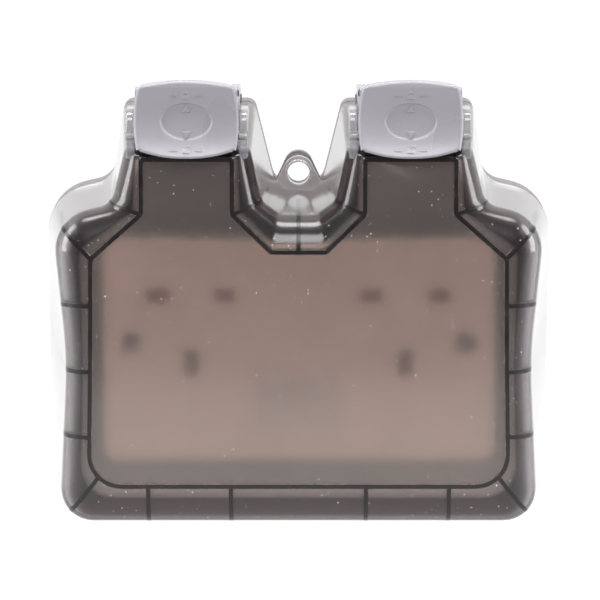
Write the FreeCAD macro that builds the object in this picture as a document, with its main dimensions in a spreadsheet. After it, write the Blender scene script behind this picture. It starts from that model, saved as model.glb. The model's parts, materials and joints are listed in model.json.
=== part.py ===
import FreeCAD, Part
import math
import os
import re

import Sketcher

# Outdoor double switched socket in a two-shell enclosure with a smoked lid, standing on its
# hinge side. Millimetres: X across, -Y to the front, +Z up. Z = 0 is the surface it stands on.
# Formulas below take y = 0 at the parting plane between lid and box; parting_y moves the whole
# model so that the origin is under the middle of its bounding box.

doc = FreeCAD.newDocument("outdoor_double_socket")
dims = doc.addObject("Spreadsheet::Sheet", "dims")
dims.Label = "driving dimensions"

SIZES = [
    ("shell_width", 160.4, "width of both shells across the rim"),
    ("waist_height", 52.6, "height of the narrowest part of the lid's front"),
    ("shoulder_height", 98.1, "height of the rim's shoulders"),
    ("neck_height", 127.9, "height of the rim at the top of the two flex necks"),
    ("notch_height", 100.1, "height of the notch floor between the necks"),
    ("neck_pitch", 68.6, "distance between the centrelines of the necks"),
    ("lid_depth", 54.0, "parting plane to the flat front panel"),
    ("edge_depth", 45.0, "parting plane to the front edge, where the rounded band starts"),
    ("box_depth", 38.0, "parting plane to the wall face"),
    ("flange_depth", 11.0, "depth of the box's full-outline flange"),
    ("flange_step", 6.0, "how far the box body is set in from the flange"),
    ("box_shoulder", 94.0, "height of the box body behind the flange"),
    ("box_corner", 9.0, "corner radius of the box behind its flange"),
    ("wall", 2.5, "wall of both shells"),
    ("parting_gap", 0.4, "gap between the lid's rim and the box's rim"),
    ("seal_line", 6.3, "height of the rim above the base along the hinge"),
    ("gasket_width", 1.0, "width of the rim gasket"),
    ("gasket_inset", 0.75, "outline to the gasket"),
    ("gasket_depth", 1.3, "depth of the gasket's groove"),
    ("gasket_proud", 0.1, "how far the gasket stands out of its groove"),
    ("rib_width", 1.3, "thickness of the lid's ribs"),
    ("rib_height", 2.6, "how far the ribs stand in from the lid's inner face"),
    ("rib_low", 28.7, "height of the lowest rib on each side"),
    ("rib_middle", 49.2, "height of the middle rib on each side"),
    ("rib_high", 69.9, "height of the highest rib on each side"),
    ("rib_near", 21.0, "the inner ribs of the lower side from the middle"),
    ("rib_far", 46.8, "the outer ribs of the lower side from the middle"),
    ("rib_reach", 27.0, "how far the ribs run back from the front edge"),
    ("barrel_r", 2.9, "hinge barrel, outer radius"),
    ("hinge_height", 3.1, "height of the hinge axis"),
    ("hinge_x", 48.0, "centre of each hinge from the middle"),
    ("hinge_core", 14.0, "width of the lid's barrel"),
    ("hinge_ear", 7.0, "width of each of the box's barrels"),
    ("hinge_gap", 0.4, "side gap between barrels"),
    ("groove_half", 3.6, "half the width of the hinge groove"),
    ("pin_r", 1.5, "radius of the hinge and latch pins"),
    ("running_fit", 0.05, "radial play of a moving bore on its pin"),
    ("press_play", 0.01, "radial play of a fixed bore on its pin"),
    ("ear_gap", 32.0, "clear width between the latch ears on each neck"),
    ("ear_wall", 2.7, "thickness of a latch ear"),
    ("ear_top", 130.6, "height of the latch ears"),
    ("ear_front", 3.6, "latch pin to the front of the ears"),
    ("ear_foot", 6.0, "latch pin down to the foot of the ears"),
    ("ear_back", 15.0, "latch pin to the back of the ears"),
    ("ear_bend", 4.0, "radius of the ears' front corner"),
    ("latch_side_play", 0.3, "side play of a latch between its ears"),
    ("pivot_height", 122.6, "height of the latch pivots"),
    ("pivot_depth", 49.0, "latch pivots in front of the parting plane"),
    ("pad_front", 61.0, "parting plane to the front of the latch pads"),
    ("pad_inner", 57.4, "parting plane to the back face of the latch pads"),
    ("pad_top", 140.6, "height of the top of the arched edge of the latch pads"),
    ("pad_arch", 1.7, "rise of a pad's top edge from its ends to its middle"),
    ("pad_bottom", 116.5, "height of the bottom edge of the latch pads"),
    ("pad_half", 14.7, "half width of a latch pad at its ends"),
    ("pad_bulge", 1.4, "how far a pad's sides bow out"),
    ("scoop_r", 34.0, "radius of the finger scoop"),
    ("scoop_depth", 1.7, "depth of the finger scoop"),
    ("cheek", 1.8, "thickness of a latch's roof and cheeks"),
    ("arm_width", 3.0, "width of a latch arm"),
    ("arm_low", 130.3, "height of the underside of the latch arms"),
    ("arm_high", 133.3, "height of the top of the latch arms"),
    ("catch_rise", 2.0, "height of the catch bumps on the box"),
    ("catch_front", 1.0, "parting plane to the front of a catch bump"),
    ("catch_back", 3.5, "parting plane to the back of a catch bump"),
    ("hook_play", 0.35, "play between a closed hook and its catch"),
    ("hook_thick", 2.7, "thickness of a latch hook"),
    ("tab_top", 110.8, "height of the lid's padlock tab"),
    ("tab_half", 7.6, "half width of the padlock tabs at the foot"),
    ("tab_thick", 4.6, "thickness of each padlock tab"),
    ("tab_crown", 4.6, "radius of the padlock tabs' crown"),
    ("tab_step", 1.0, "how much higher the box's tab is than the lid's"),
    ("padlock_r", 3.6, "radius of the padlock hole"),
    ("padlock_height", 105.2, "height of the padlock hole"),
    ("outlet_pitch", 69.0, "distance between the two outlets"),
    ("pin_pitch", 22.2, "line to neutral, and the pin line to the earth pin"),
    ("pin_line", 65.3, "height of the line and neutral pins"),
    ("slot_long", 7.4, "long side of a line or neutral aperture"),
    ("slot_short", 4.8, "short side of every aperture"),
    ("earth_long", 9.0, "long side of an earth aperture"),
    ("plate_width", 127.0, "width of the socket plate"),
    ("plate_low", 10.5, "height of the plate's lower edge"),
    ("plate_high", 83.2, "height of the plate's upper edge"),
    ("plate_front", 2.0, "plate face in front of the parting plane"),
    ("plate_back", 6.0, "back of the plate's skirt behind the parting plane"),
    ("plate_wall", 2.5, "thickness of the plate"),
    ("plate_corner", 5.0, "corner radius of the plate"),
    ("plate_edge", 1.2, "rounding of the plate's front edge"),
    ("fixing_pitch", 108.8, "distance between the plate's two screws"),
    ("fixing_height", 49.6, "height of the plate's screws"),
    ("fixing_r", 1.75, "radius of the plate's screws"),
    ("screw_head_r", 3.4, "radius of the plate screws' heads"),
    ("pillar_r", 4.2, "radius of the box's screw pillars"),
    ("insert_r", 2.8, "radius of the threaded inserts"),
    ("insert_length", 8.0, "length of the threaded inserts"),
    ("rocker_x", 6.8, "centre of each rocker from the middle"),
    ("rocker_width", 9.6, "width of a rocker"),
    ("rocker_low", 22.0, "height of a rocker's lower end"),
    ("rocker_high", 40.4, "height of a rocker's upper end"),
    ("rocker_play", 0.35, "gap round a rocker in its window"),
    ("rocker_rise", 1.5, "how far the raised end of a rocker stands out of the plate"),
    ("trunnion_r", 1.2, "radius of a rocker's trunnions"),
    ("trunnion_length", 1.2, "length of a rocker's trunnions"),
    ("rocker_pivot", 3.4, "rocker trunnions behind the parting plane"),
    ("shutter_gap", 0.4, "gap in front of and behind a shutter"),
    ("shutter_thick", 2.5, "thickness of a shutter"),
    ("shutter_travel", 6.0, "travel of a shutter"),
    ("shutter_stem", 4.0, "half width of a shutter's stem"),
    ("guide_x", 5.2, "the shutters' guides from the outlet's middle"),
    ("guide_half", 0.9, "half thickness of a guide"),
    ("spring_half", 1.4, "half width of a shutter's folded spring"),
    ("spring_strip", 0.3, "thickness of the spring's strip"),
    ("spring_folds", 6.0, "how many times the spring's strip crosses over"),
    ("base_front", 5.5, "front of the socket base behind the parting plane"),
    ("base_back", 25.0, "back of the socket base behind the parting plane"),
    ("base_half", 53.0, "half width of the socket base"),
    ("base_low", 14.0, "height of the base's lower edge"),
    ("base_high", 80.0, "height of the base's upper edge"),
    ("cover_thick", 1.5, "thickness of the base's rear cover"),
    ("strap", 1.0, "thickness of the brass contact strip"),
    ("clip_gap", 3.8, "gap between the leaves of a contact clip"),
    ("clip_front", 8.0, "front of the contact clips behind the parting plane"),
    ("clip_back", 20.0, "back of the contact clips behind the parting plane"),
    ("clip_half", 3.6, "half width of a line or neutral clip"),
    ("clip_reach", 4.4, "half height of an earth clip"),
    ("live_bar_end", 11.5, "inner ends of the live bars from the middle"),
    ("bar_half", 2.0, "half width of the narrow bars"),
    ("pocket_play", 0.4, "gap round each contact in its pocket"),
    ("terminal_side", 8.0, "side of a terminal block"),
    ("terminal_pitch", 26.0, "distance between terminal blocks"),
    ("terminal_height", 19.5, "height of the terminals' centres"),
    ("module_screw_r", 1.5, "radius of the screws that hold base and plate together"),
    ("module_screw_x", 14.0, "module screws from the middle"),
    ("module_head_r", 2.8, "radius of the module screws' heads"),
    ("module_sink", 8.0, "depth of the module screws' heads in the base"),
    ("driver_slot", 0.8, "width of the slot in the small screws' heads"),
    ("flex_r", 3.6, "radius of each flex outlet"),
    ("seal_half", 7.9, "half width of a flex seal"),
    ("seal_depth", 6.5, "depth of a flex seal from the parting plane"),
    ("entry_r", 10.1, "radius of the 20 mm conduit entries"),
    ("entry_y", 24.0, "conduit entries behind the parting plane"),
    ("entry_z", 34.0, "height of the conduit entries"),
    ("plug_lip_step", 0.6, "how far the plug's inner lip stands out of its hole"),
    ("plug_head_step", 1.9, "how far the plug's outer head stands out of its hole"),
    ("wall_hole_r", 2.5, "radius of the wall screw holes"),
    ("wall_hole_x", 60.0, "wall screw holes from the middle"),
    ("wall_hole_low", 18.0, "height of the lower wall screw holes"),
    ("wall_hole_high", 78.0, "height of the upper wall screw holes"),
]

# One half of the outline, from the foot round to the notch: where each corner of the rim is,
# how far the front edge moves from it, and how far the flat panel moves from the front edge.
# name, x datum, x, z datum, z, radius, draft x, draft z, edge radius, band x, band z, panel radius
CORNERS = [
    ("foot", "shell_half", -1.2, None, 0.0, 12.0, -4.1, 0.6, 10.0, -9.7, 12.5, 10.0),
    ("waist", "shell_half", 0.0, "waist_height", 0.0, 300.0, -7.9, 0.0, 140.0, -7.8, 0.0, 140.0),
    ("shoulder", "shell_half", 0.4, "shoulder_height", 0.0, 15.0, -4.0, -2.0, 13.0, -12.4, -11.5, 3.0),
    ("root", "neck_half", 25.1, "shoulder_height", 4.9, 8.0, -1.4, -2.2, 6.0, -9.5, -2.3, 1.5),
    ("crown_out", "neck_half", 21.4, "neck_height", 0.0, 3.0, -2.1, -9.3, 2.0, -5.1, -3.1, 1.0),
    ("crown_in", "neck_half", -20.2, "neck_height", 0.0, 3.0, 0.8, -9.3, 2.0, 5.6, -3.1, 1.0),
    ("notch_side", "neck_half", -26.3, "notch_height", 3.3, 5.0, 3.4, -1.6, 4.0, 9.1, -3.3, 1.5),
    ("notch_floor", "neck_half", -30.1, "notch_height", 0.0, 3.5, 1.5, -2.6, 4.0, 2.8, -10.8, 1.5),
]
CORNER_FIELDS = (
    "_x", "_z", "_radius",
    "_draft_x", "_draft_z", "_edge_radius",
    "_band_x", "_band_z", "_panel_radius",
)


def fill_sheet():
    """Writes every driving dimension with its alias and note, and the sizes worked out from them."""
    rows = list(SIZES)
    for name, _x_datum, x, _z_datum, z, *rest in CORNERS:
        values = (x, z, *rest)
        for field, value in zip(CORNER_FIELDS, values):
            rows.append((name + field, value, f"outline corner '{name}'"))
    rows.append(("shell_half", "=shell_width / 2", "half the shell's width"))
    rows.append(("neck_half", "=neck_pitch / 2", "neck centreline from the middle"))
    rows.append(("parting_y", "=(pad_front - box_depth) / 2", "parting plane from the origin"))
    for row, (alias, value, note) in enumerate(rows, start=1):
        dims.set(f"A{row}", note)
        dims.set(f"B{row}", str(value))
        dims.setAlias(f"B{row}", alias)
    doc.recompute()
    return {alias for alias, _value, _note in rows}


ALIASES = fill_sheet()


def size(alias):
    """The number in one named cell."""
    return float(dims.get(alias))


def formula(text):
    """A formula in plain alias names, as an expression on the sheet."""
    def on_sheet(word):
        """The name with its sheet in front, if it is an alias."""
        name = word.group()
        return f"dims.{name}" if name in ALIASES else name

    return re.sub(r"[a-z][a-z_]+", on_sheet, str(text))


def value_of(text):
    """The number that a formula gives now."""
    return float(dims.evalExpression(formula(text)))


# ---------------------------------------------------------------- primitives and booleans

def around(centre, half):
    """A span of formulas that reaches equally far to both sides of a centre."""
    return f"{centre} - ({half})", f"{centre} + ({half})"


def widened(span, margin):
    """A span of formulas with a margin at both ends."""
    return f"{span[0]} - {margin}", f"{span[1]} + {margin}"


def block(name, x_span, y_span, z_span):
    """A box between formulas, with y counted from the parting plane."""
    item = doc.addObject("Part::Box", name)
    for prop, (low, high) in (("Length", x_span), ("Width", y_span), ("Height", z_span)):
        item.setExpression(prop, formula(f"({high}) - ({low})"))
    item.setExpression("Placement.Base.x", formula(x_span[0]))
    item.setExpression("Placement.Base.y", formula(f"parting_y + {y_span[0]}"))
    item.setExpression("Placement.Base.z", formula(z_span[0]))
    return item


TURNS = {
    "x": FreeCAD.Rotation(FreeCAD.Vector(0, 1, 0), 90),
    "y": FreeCAD.Rotation(FreeCAD.Vector(1, 0, 0), -90),
    "z": FreeCAD.Rotation(),
}


def rod(name, axis, radius, length, x, y, z):
    """A cylinder that starts at a point and runs along +axis."""
    item = doc.addObject("Part::Cylinder", name)
    item.Placement = FreeCAD.Placement(FreeCAD.Vector(), TURNS[axis])
    item.setExpression("Radius", formula(radius))
    item.setExpression("Height", formula(length))
    item.setExpression("Placement.Base.x", formula(x))
    item.setExpression("Placement.Base.y", formula(f"parting_y + {y}"))
    item.setExpression("Placement.Base.z", formula(z))
    return item


def join(name, items):
    """One solid made of several that touch or overlap."""
    item = doc.addObject("Part::MultiFuse", name)
    item.Shapes = items
    return item


def carve(name, base, tools):
    """A base with every tool taken out of it."""
    item = doc.addObject("Part::Cut", name)
    item.Base = base
    item.Tool = tools[0] if len(tools) == 1 else join(name + "_tools", tools)
    return item


def group(name, items):
    """Separate solids kept as one node."""
    item = doc.addObject("Part::Compound", name)
    item.Links = items
    return item


PIECES = []


def piece(label, item):
    """Marks an object as a finished sub-part; its label names its file."""
    item.Label = label
    PIECES.append(item)
    return item


def shaped(label, shape):
    """A sub-part or tool whose shape is built from the sheet's sizes about the parting plane."""
    item = doc.addObject("Part::Feature", label)
    own_place = shape.Placement
    item.Shape = shape
    shift = FreeCAD.Vector(0, size("parting_y"), 0)
    item.Placement = FreeCAD.Placement(shift, FreeCAD.Rotation()) * own_place
    return item


# ---------------------------------------------------------------- sketched bodies

def new_body(name):
    """A PartDesign body whose origin lies on the parting plane."""
    body = doc.addObject("PartDesign::Body", name)
    body.setExpression("Placement.Base.y", formula("parting_y"))
    return body


def new_sketch(body, name, plane, forward="0"):
    """An empty sketch on one of the body's origin planes, or moved along its normal (-Y for XZ)."""
    sketch = body.newObject("Sketcher::SketchObject", name)
    face = next(item for item in body.Origin.OriginFeatures if item.Role == plane)
    sketch.AttachmentSupport = [(face, "")]
    sketch.MapMode = "FlatFace"
    sketch.setExpression("AttachmentOffset.Base.z", formula(forward))
    return sketch


def pin_point(sketch, index, end, across, up):
    """Ties one point of a sketch to two formulas."""
    for kind, text in (("DistanceX", across), ("DistanceY", up)):
        number = value_of(text)
        if abs(number) < 1e-9:
            axis = -2 if kind == "DistanceX" else -1
            sketch.addConstraint(Sketcher.Constraint("PointOnObject", index, end, axis))
            continue
        at = sketch.addConstraint(Sketcher.Constraint(kind, -1, 1, index, end, number))
        sketch.setExpression(f"Constraints[{at}]", formula(text))


def polygon(sketch, corners):
    """A closed polygon with each corner tied to two formulas."""
    points = [FreeCAD.Vector(value_of(across), value_of(up), 0) for across, up in corners]
    first = sketch.GeometryCount
    for index, start in enumerate(points):
        end = points[(index + 1) % len(points)]
        sketch.addGeometry(Part.LineSegment(start, end))
    for index in range(len(points)):
        following = first + (index + 1) % len(points)
        sketch.addConstraint(Sketcher.Constraint("Coincident", first + index, 2, following, 1))
    for index, (across, up) in enumerate(corners):
        pin_point(sketch, first + index, 1, across, up)


def rectangle(sketch, across, up):
    """A rectangle between two spans of formulas."""
    (left, right), (low, high) = across, up
    polygon(sketch, [(left, low), (right, low), (right, high), (left, high)])


def circle(sketch, across, up, radius):
    """A circle with its centre and radius tied to formulas."""
    centre = FreeCAD.Vector(value_of(across), value_of(up), 0)
    at = sketch.addGeometry(Part.Circle(centre, FreeCAD.Vector(0, 0, 1), value_of(radius)))
    pin_point(sketch, at, 3, across, up)
    tied = sketch.addConstraint(Sketcher.Constraint("Radius", at, value_of(radius)))
    sketch.setExpression(f"Constraints[{tied}]", formula(radius))


def pad(body, sketch, length, middle=False, backwards=False):
    """Pads a sketch; middle spreads it evenly to both sides."""
    feature = body.newObject("PartDesign::Pad", sketch.Name + "_pad")
    feature.Profile = sketch
    feature.setExpression("Length", formula(length))
    feature.Midplane = middle
    feature.Reversed = backwards
    doc.recompute()
    return feature


def pocket(body, sketch, length, middle=False, backwards=False):
    """Pockets a sketch and makes sure that it really cut something."""
    before = body.Shape.Volume
    feature = body.newObject("PartDesign::Pocket", sketch.Name + "_pocket")
    feature.Profile = sketch
    feature.setExpression("Length", formula(length))
    feature.Midplane = middle
    feature.Reversed = backwards
    doc.recompute()
    if body.Shape.Volume > before - 1e-3:
        raise RuntimeError(f"{feature.Name} cut nothing")
    return feature


def fillet_edges(body, radius, wanted):
    """Rounds the edges of the body's tip that pass a test."""
    base = body.Tip
    names = [f"Edge{index}" for index, edge in enumerate(base.Shape.Edges, start=1) if wanted(edge)]
    feature = body.newObject("PartDesign::Fillet", body.Name + f"_fillet{len(body.Group)}")
    feature.Base = (base, names)
    feature.setExpression("Radius", formula(radius))
    doc.recompute()
    return feature


def runs_along(edge, axis):
    """Whether an edge is a straight line along one axis."""
    if not isinstance(edge.Curve, (Part.Line, Part.LineSegment)):
        return False
    way = edge.Vertexes[-1].Point - edge.Vertexes[0].Point
    return abs(abs(way.dot(axis)) - edge.Length) < 1e-6


X_AXIS = FreeCAD.Vector(1, 0, 0)
Y_AXIS = FreeCAD.Vector(0, 1, 0)


# ---------------------------------------------------------------- shell outlines

def rim_corners():
    """Half of the rim outline as (x, z, radius)."""
    found = []
    for name, x_datum, _x, z_datum, *_rest in CORNERS:
        x = size(name + "_x") + size(x_datum)
        z = size(name + "_z") + (size(z_datum) if z_datum else 0.0)
        found.append((x, z, size(name + "_radius")))
    return found


def edge_corners():
    """Half of the front edge's outline."""
    found = []
    for (name, *_rest), (x, z, _radius) in zip(CORNERS, rim_corners()):
        found.append((x + size(name + "_draft_x"), z + size(name + "_draft_z"), size(name + "_edge_radius")))
    return found


def panel_corners():
    """Half of the flat panel's outline."""
    found = []
    for (name, *_rest), (x, z, _radius) in zip(CORNERS, edge_corners()):
        found.append((x + size(name + "_band_x"), z + size(name + "_band_z"), size(name + "_panel_radius")))
    return found


def between(start, end, share):
    """Corners part of the way from one outline to another."""
    return [tuple(a + (b - a) * share for a, b in zip(first, last)) for first, last in zip(start, end)]


def raised_foot(corners):
    """The outline with its foot corner moved up its side to the seal line."""
    (x, z, radius), second = corners[0], corners[1]
    lift = size("seal_line")
    share = (lift - z) / (second[1] - z)
    return [(x + (second[0] - x) * share, lift, radius), *corners[1:]]


def full_loop(corners):
    """Both halves of an outline, round from the right foot to the left foot."""
    return corners + [(-x, z, radius) for x, z, radius in reversed(corners)]


def turned(loop, index):
    """Unit directions into and out of one corner, and the signed turn there."""
    here, before, after = loop[index], loop[index - 1], loop[(index + 1) % len(loop)]
    into = FreeCAD.Vector(here[0] - before[0], 0, here[1] - before[1]).normalize()
    out = FreeCAD.Vector(after[0] - here[0], 0, after[1] - here[1]).normalize()
    turn = math.atan2(into.x * out.z - into.z * out.x, into.dot(out))
    return into, out, turn


def inset(corners, distance):
    """A half outline moved inwards by a distance, with its radii kept parallel."""
    loop = full_loop(corners)
    least = 0.3
    moved = []
    for index, (x, z, radius) in enumerate(loop[:len(corners)]):
        into, out, turn = turned(loop, index)
        inward = FreeCAD.Vector(-into.z - out.z, 0, into.x + out.x).normalize()
        reach = distance / math.cos(turn / 2)
        grown = radius - distance if turn > 0 else radius + distance
        moved.append((x + inward.x * reach, z + inward.z * reach, max(least, grown)))
    return moved


def outline_wire(corners, y):
    """The closed outline as one wire of lines and tangent arcs at a given y."""
    loop = full_loop(corners)
    arcs = []
    for index, (x, z, radius) in enumerate(loop):
        into, out, turn = turned(loop, index)
        corner = FreeCAD.Vector(x, y, z)
        back = radius * math.tan(abs(turn) / 2)
        start, end = corner - into * back, corner + out * back
        bisector = (out - into).normalize()
        middle = corner + bisector * (radius / math.cos(turn / 2) - radius)
        arcs.append((start, middle, end))
    edges = []
    for index, (start, middle, end) in enumerate(arcs):
        previous_end = arcs[index - 1][2]
        edges.append(Part.LineSegment(previous_end, start).toShape())
        edges.append(Part.Arc(start, middle, end).toShape())
    return Part.Wire(edges)


def prism(corners, y_low, y_high):
    """An outline pushed from one y to another."""
    face = Part.Face(outline_wire(corners, y_low))
    return face.extrude(FreeCAD.Vector(0, y_high - y_low, 0))


def slab(x_span, y_span, z_span):
    """A plain box shape between numbers."""
    lows = [span[0] for span in (x_span, y_span, z_span)]
    spans = [span[1] - span[0] for span in (x_span, y_span, z_span)]
    return Part.makeBox(*spans, FreeCAD.Vector(*lows))


def band_sections(edge, panel, edge_depth, panel_depth, steps=4):
    """Sections of a quarter-round band from the front edge to the flat panel."""
    found = []
    for step in range(1, steps + 1):
        angle = math.pi / 2 * step / steps
        share = 1 - math.cos(angle)
        depth = edge_depth + (panel_depth - edge_depth) * math.sin(angle)
        found.append(outline_wire(between(edge, panel, share), -depth))
    return found


def tapered(wires):
    """A solid ruled through a row of matching outlines."""
    return Part.makeLoft(wires, True, True)


# ---------------------------------------------------------------- the lid

FAR = 200.0


def lid_space(offset, rear):
    """The lid's outer form moved in by an offset, from a y behind the rim to the panel."""
    rim, edge, panel = rim_corners(), edge_corners(), panel_corners()
    back_share = -rear / size("edge_depth")
    front = size("edge_depth") - 0.3 * offset
    first = inset(between(rim, edge, -back_share), offset)
    wires = [outline_wire(first, rear), outline_wire(inset(edge, offset), -front)]
    inner_panel = inset(panel, 0.3 * offset)
    wires += band_sections(inset(edge, offset), inner_panel, front, size("lid_depth") - offset)
    return tapered(wires)


def hinge_rail_space(rear, front):
    """What stays hollow beside the hinge, above the raised rim, between two y values."""
    wires = []
    for y in (rear, front):
        section = between(rim_corners(), edge_corners(), -y / size("edge_depth"))
        wires.append(outline_wire(inset(raised_foot(section), size("wall")), y))
    return tapered(wires)


def rib_lines():
    """The radial ribs of one half as pairs of points (x, z), from the panel outwards."""
    rim, panel = rim_corners(), panel_corners()
    foot, waist, floor = 0, 1, 7
    lines = [((0.0, panel[floor][1]), (0.0, rim[floor][1]))]
    for height in (size("rib_low"), size("rib_middle"), size("rib_high")):
        lines.append(((panel[waist][0], height), (rim[waist][0], height)))
    for across in (size("rib_near"), size("rib_far")):
        lines.append(((across, panel[foot][1]), (across, rim[foot][1])))
    shift = size("foot_panel_radius") * 0.3
    ends = [(outline[foot][0] - shift, outline[foot][1] + shift) for outline in (panel, rim)]
    lines.append(tuple(ends))
    for index in (2, 3, 6):
        lines.append((panel[index][:2], rim[index][:2]))
    return lines


def rib_blade(inner, outer):
    """A flat blade through one rib line, from the front of the lid to behind the rib."""
    depth = size("lid_depth")
    start = FreeCAD.Vector(inner[0], -depth, inner[1])
    end = FreeCAD.Vector(outer[0], -depth, outer[1])
    way = (end - start).normalize()
    side = FreeCAD.Vector(-way.z, 0, way.x) * (size("rib_width") / 2)
    ring = [start - side, end - side, end + side, start + side, start - side]
    face = Part.Face(Part.makePolygon(ring))
    return face.extrude(FreeCAD.Vector(0, depth - size("rib_reach") + 9, 0))


def lid_ribs(hollow):
    """Radial ribs that follow the lid's inner face, and the rib round the flat panel."""
    core = lid_space(size("wall") + size("rib_height"), 1.0)
    zone = hollow.cut(core)
    ribs = []
    for inner, outer in rib_lines():
        blade = rib_blade(inner, outer)
        ribs.append(zone.common(blade))
        if outer[0] > 0:
            ribs.append(zone.common(blade.mirror(FreeCAD.Vector(), X_AXIS)))
    overlap, half = 0.3, size("rib_width") / 2
    back = -size("lid_depth") + size("wall") - overlap
    front = back + size("rib_height") + overlap
    ring = prism(inset(panel_corners(), -half), back, front)
    ribs.append(ring.cut(prism(inset(panel_corners(), half), back - 1, front + 1)))
    return ribs


def latch_ears():
    """The two pairs of ears that carry the latch pins."""
    half_gap, thick = size("ear_gap") / 2, size("ear_wall")
    pin, height, top = -size("pivot_depth"), size("pivot_height"), size("ear_top")
    front, rear, low = pin - size("ear_front"), pin + size("ear_back"), height - size("ear_foot")
    bend = size("ear_bend")
    outline = [
        (front, low), (front, top - bend), (front + bend, top),
        (rear - 5, top), (rear, top - 3.5), (rear, low), (front, low),
    ]
    points = [FreeCAD.Vector(0, y, z) for y, z in outline]
    near = bend * (1 - math.sqrt(0.5))
    rounding = Part.Arc(points[1], FreeCAD.Vector(0, front + near, top - near), points[2])
    edges = [Part.LineSegment(points[i], points[i + 1]).toShape() for i in (0, 2, 3, 4, 5)]
    edges.insert(1, rounding.toShape())
    ears = []
    for sign in (-1, 1):
        for x in (half_gap, -half_gap - thick):
            ear = Part.Face(Part.Wire(edges)).extrude(FreeCAD.Vector(thick, 0, 0))
            ear.translate(FreeCAD.Vector(sign * size("neck_half") + x, 0, 0))
            ears.append(ear)
    return ears


def padlock_tab(top, y_low, y_high):
    """A rounded triangular tab between the necks."""
    half, floor, crown = size("tab_half"), size("notch_height"), size("tab_crown")
    centre = FreeCAD.Vector(0, y_low, top - crown)
    lean = math.radians(28)
    right = centre + FreeCAD.Vector(crown * math.cos(lean), 0, crown * math.sin(lean))
    left = FreeCAD.Vector(-right.x, right.y, right.z)
    foot = floor - size("wall") * 0.8
    corners = [FreeCAD.Vector(half, y_low, floor + 1.6), FreeCAD.Vector(half - 1.5, y_low, foot)]
    corners += [FreeCAD.Vector(-p.x, p.y, p.z) for p in reversed(corners)]
    edges = [Part.Arc(left, centre + FreeCAD.Vector(0, 0, crown), right).toShape()]
    chain = [right, *corners, left]
    edges += [Part.LineSegment(a, b).toShape() for a, b in zip(chain, chain[1:])]
    thick = y_high - y_low
    tab = Part.Face(Part.Wire(edges)).extrude(FreeCAD.Vector(0, thick, 0))
    start = FreeCAD.Vector(0, y_low - 1, size("padlock_height"))
    return tab.cut(Part.makeCylinder(size("padlock_r"), thick + 2, start, Y_AXIS))


def barrel(x_low, x_high, radius):
    """A cylinder on the hinge axis."""
    start = FreeCAD.Vector(x_low, 0, size("hinge_height"))
    return Part.makeCylinder(radius, x_high - x_low, start, X_AXIS)


def hinge_spans():
    """For one hinge: the lid's barrel and the box's two barrels, as x spans about its centre."""
    core, ear, gap = size("hinge_core") / 2, size("hinge_ear"), size("hinge_gap")
    return (-core, core), [(-core - gap - ear, -core - gap), (core + gap, core + gap + ear)]


def barrel_with_web(x_span, side, bore):
    """One hinge barrel and the web that ties it to the rim above; side is -1 for lid, 1 for box."""
    low, high = x_span
    near, far = size("parting_gap"), size("barrel_r")
    y_span = (near, far) if side > 0 else (-far, -near)
    web = slab((low, high), y_span, (size("hinge_height"), size("seal_line") + 0.6))
    solid = barrel(low, high, size("barrel_r")).fuse(web)
    return solid.cut(barrel(low - 1, high + 1, bore))


def flex_cut(sign, y_low, y_high):
    """The slot through a neck's top wall that a flex seal stands in."""
    x, half, top = sign * size("neck_half"), size("seal_half") + 0.05, size("neck_height")
    return slab((x - half, x + half), (y_low, y_high), (top - 4.6, top + 8))


def make_lid():
    """The smoked lid: band, flat panel, ribs, ears, padlock tab and hinge barrels in one moulding."""
    gap = size("parting_gap")
    outer = lid_space(0.0, -gap)
    rail_front = -size("groove_half") - size("wall")
    hollow = lid_space(size("wall"), rail_front)
    hollow = hollow.fuse(hinge_rail_space(2.0, rail_front))
    shell = outer.cut(hollow)
    groove = slab((-FAR, FAR), (-size("groove_half"), 5), (-5, size("seal_line")))
    shell = shell.cut(groove)
    shell = shell.fuse(lid_ribs(hollow))
    shell = shell.fuse(latch_ears())
    shell = shell.fuse(padlock_tab(size("tab_top"), -size("tab_thick") - gap, -gap))
    core, _ears = hinge_spans()
    bore = size("pin_r") + size("running_fit")
    for sign in (-1, 1):
        centre = sign * size("hinge_x")
        shell = shell.fuse(barrel_with_web((centre + core[0], centre + core[1]), -1, bore))
    shell = shell.cut(lid_cuts())
    return piece("lid_shell", shaped("lid_shell", shell.removeSplitter()))


def lid_cuts():
    """The flex slots and the bores for the latch pins."""
    cuts = []
    reach = size("ear_gap") / 2 + size("ear_wall") + 11.3
    for sign in (-1, 1):
        cuts.append(flex_cut(sign, -size("seal_depth"), 5))
        middle = FreeCAD.Vector(sign * size("neck_half"), -size("pivot_depth"), size("pivot_height"))
        radius = size("pin_r") + size("press_play")
        cuts.append(Part.makeCylinder(radius, 2 * reach, middle - X_AXIS * reach, X_AXIS))
    return cuts


# ---------------------------------------------------------------- the back box

def body_corners(offset):
    """Half of the box's outline behind the flange, moved in by an offset."""
    half = size("shell_half") - size("flange_step") - offset
    low, high = offset, size("box_shoulder") - offset
    radius = max(0.5, size("box_corner") - offset)
    return [(half, low, radius), (half, high, radius)]


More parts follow.
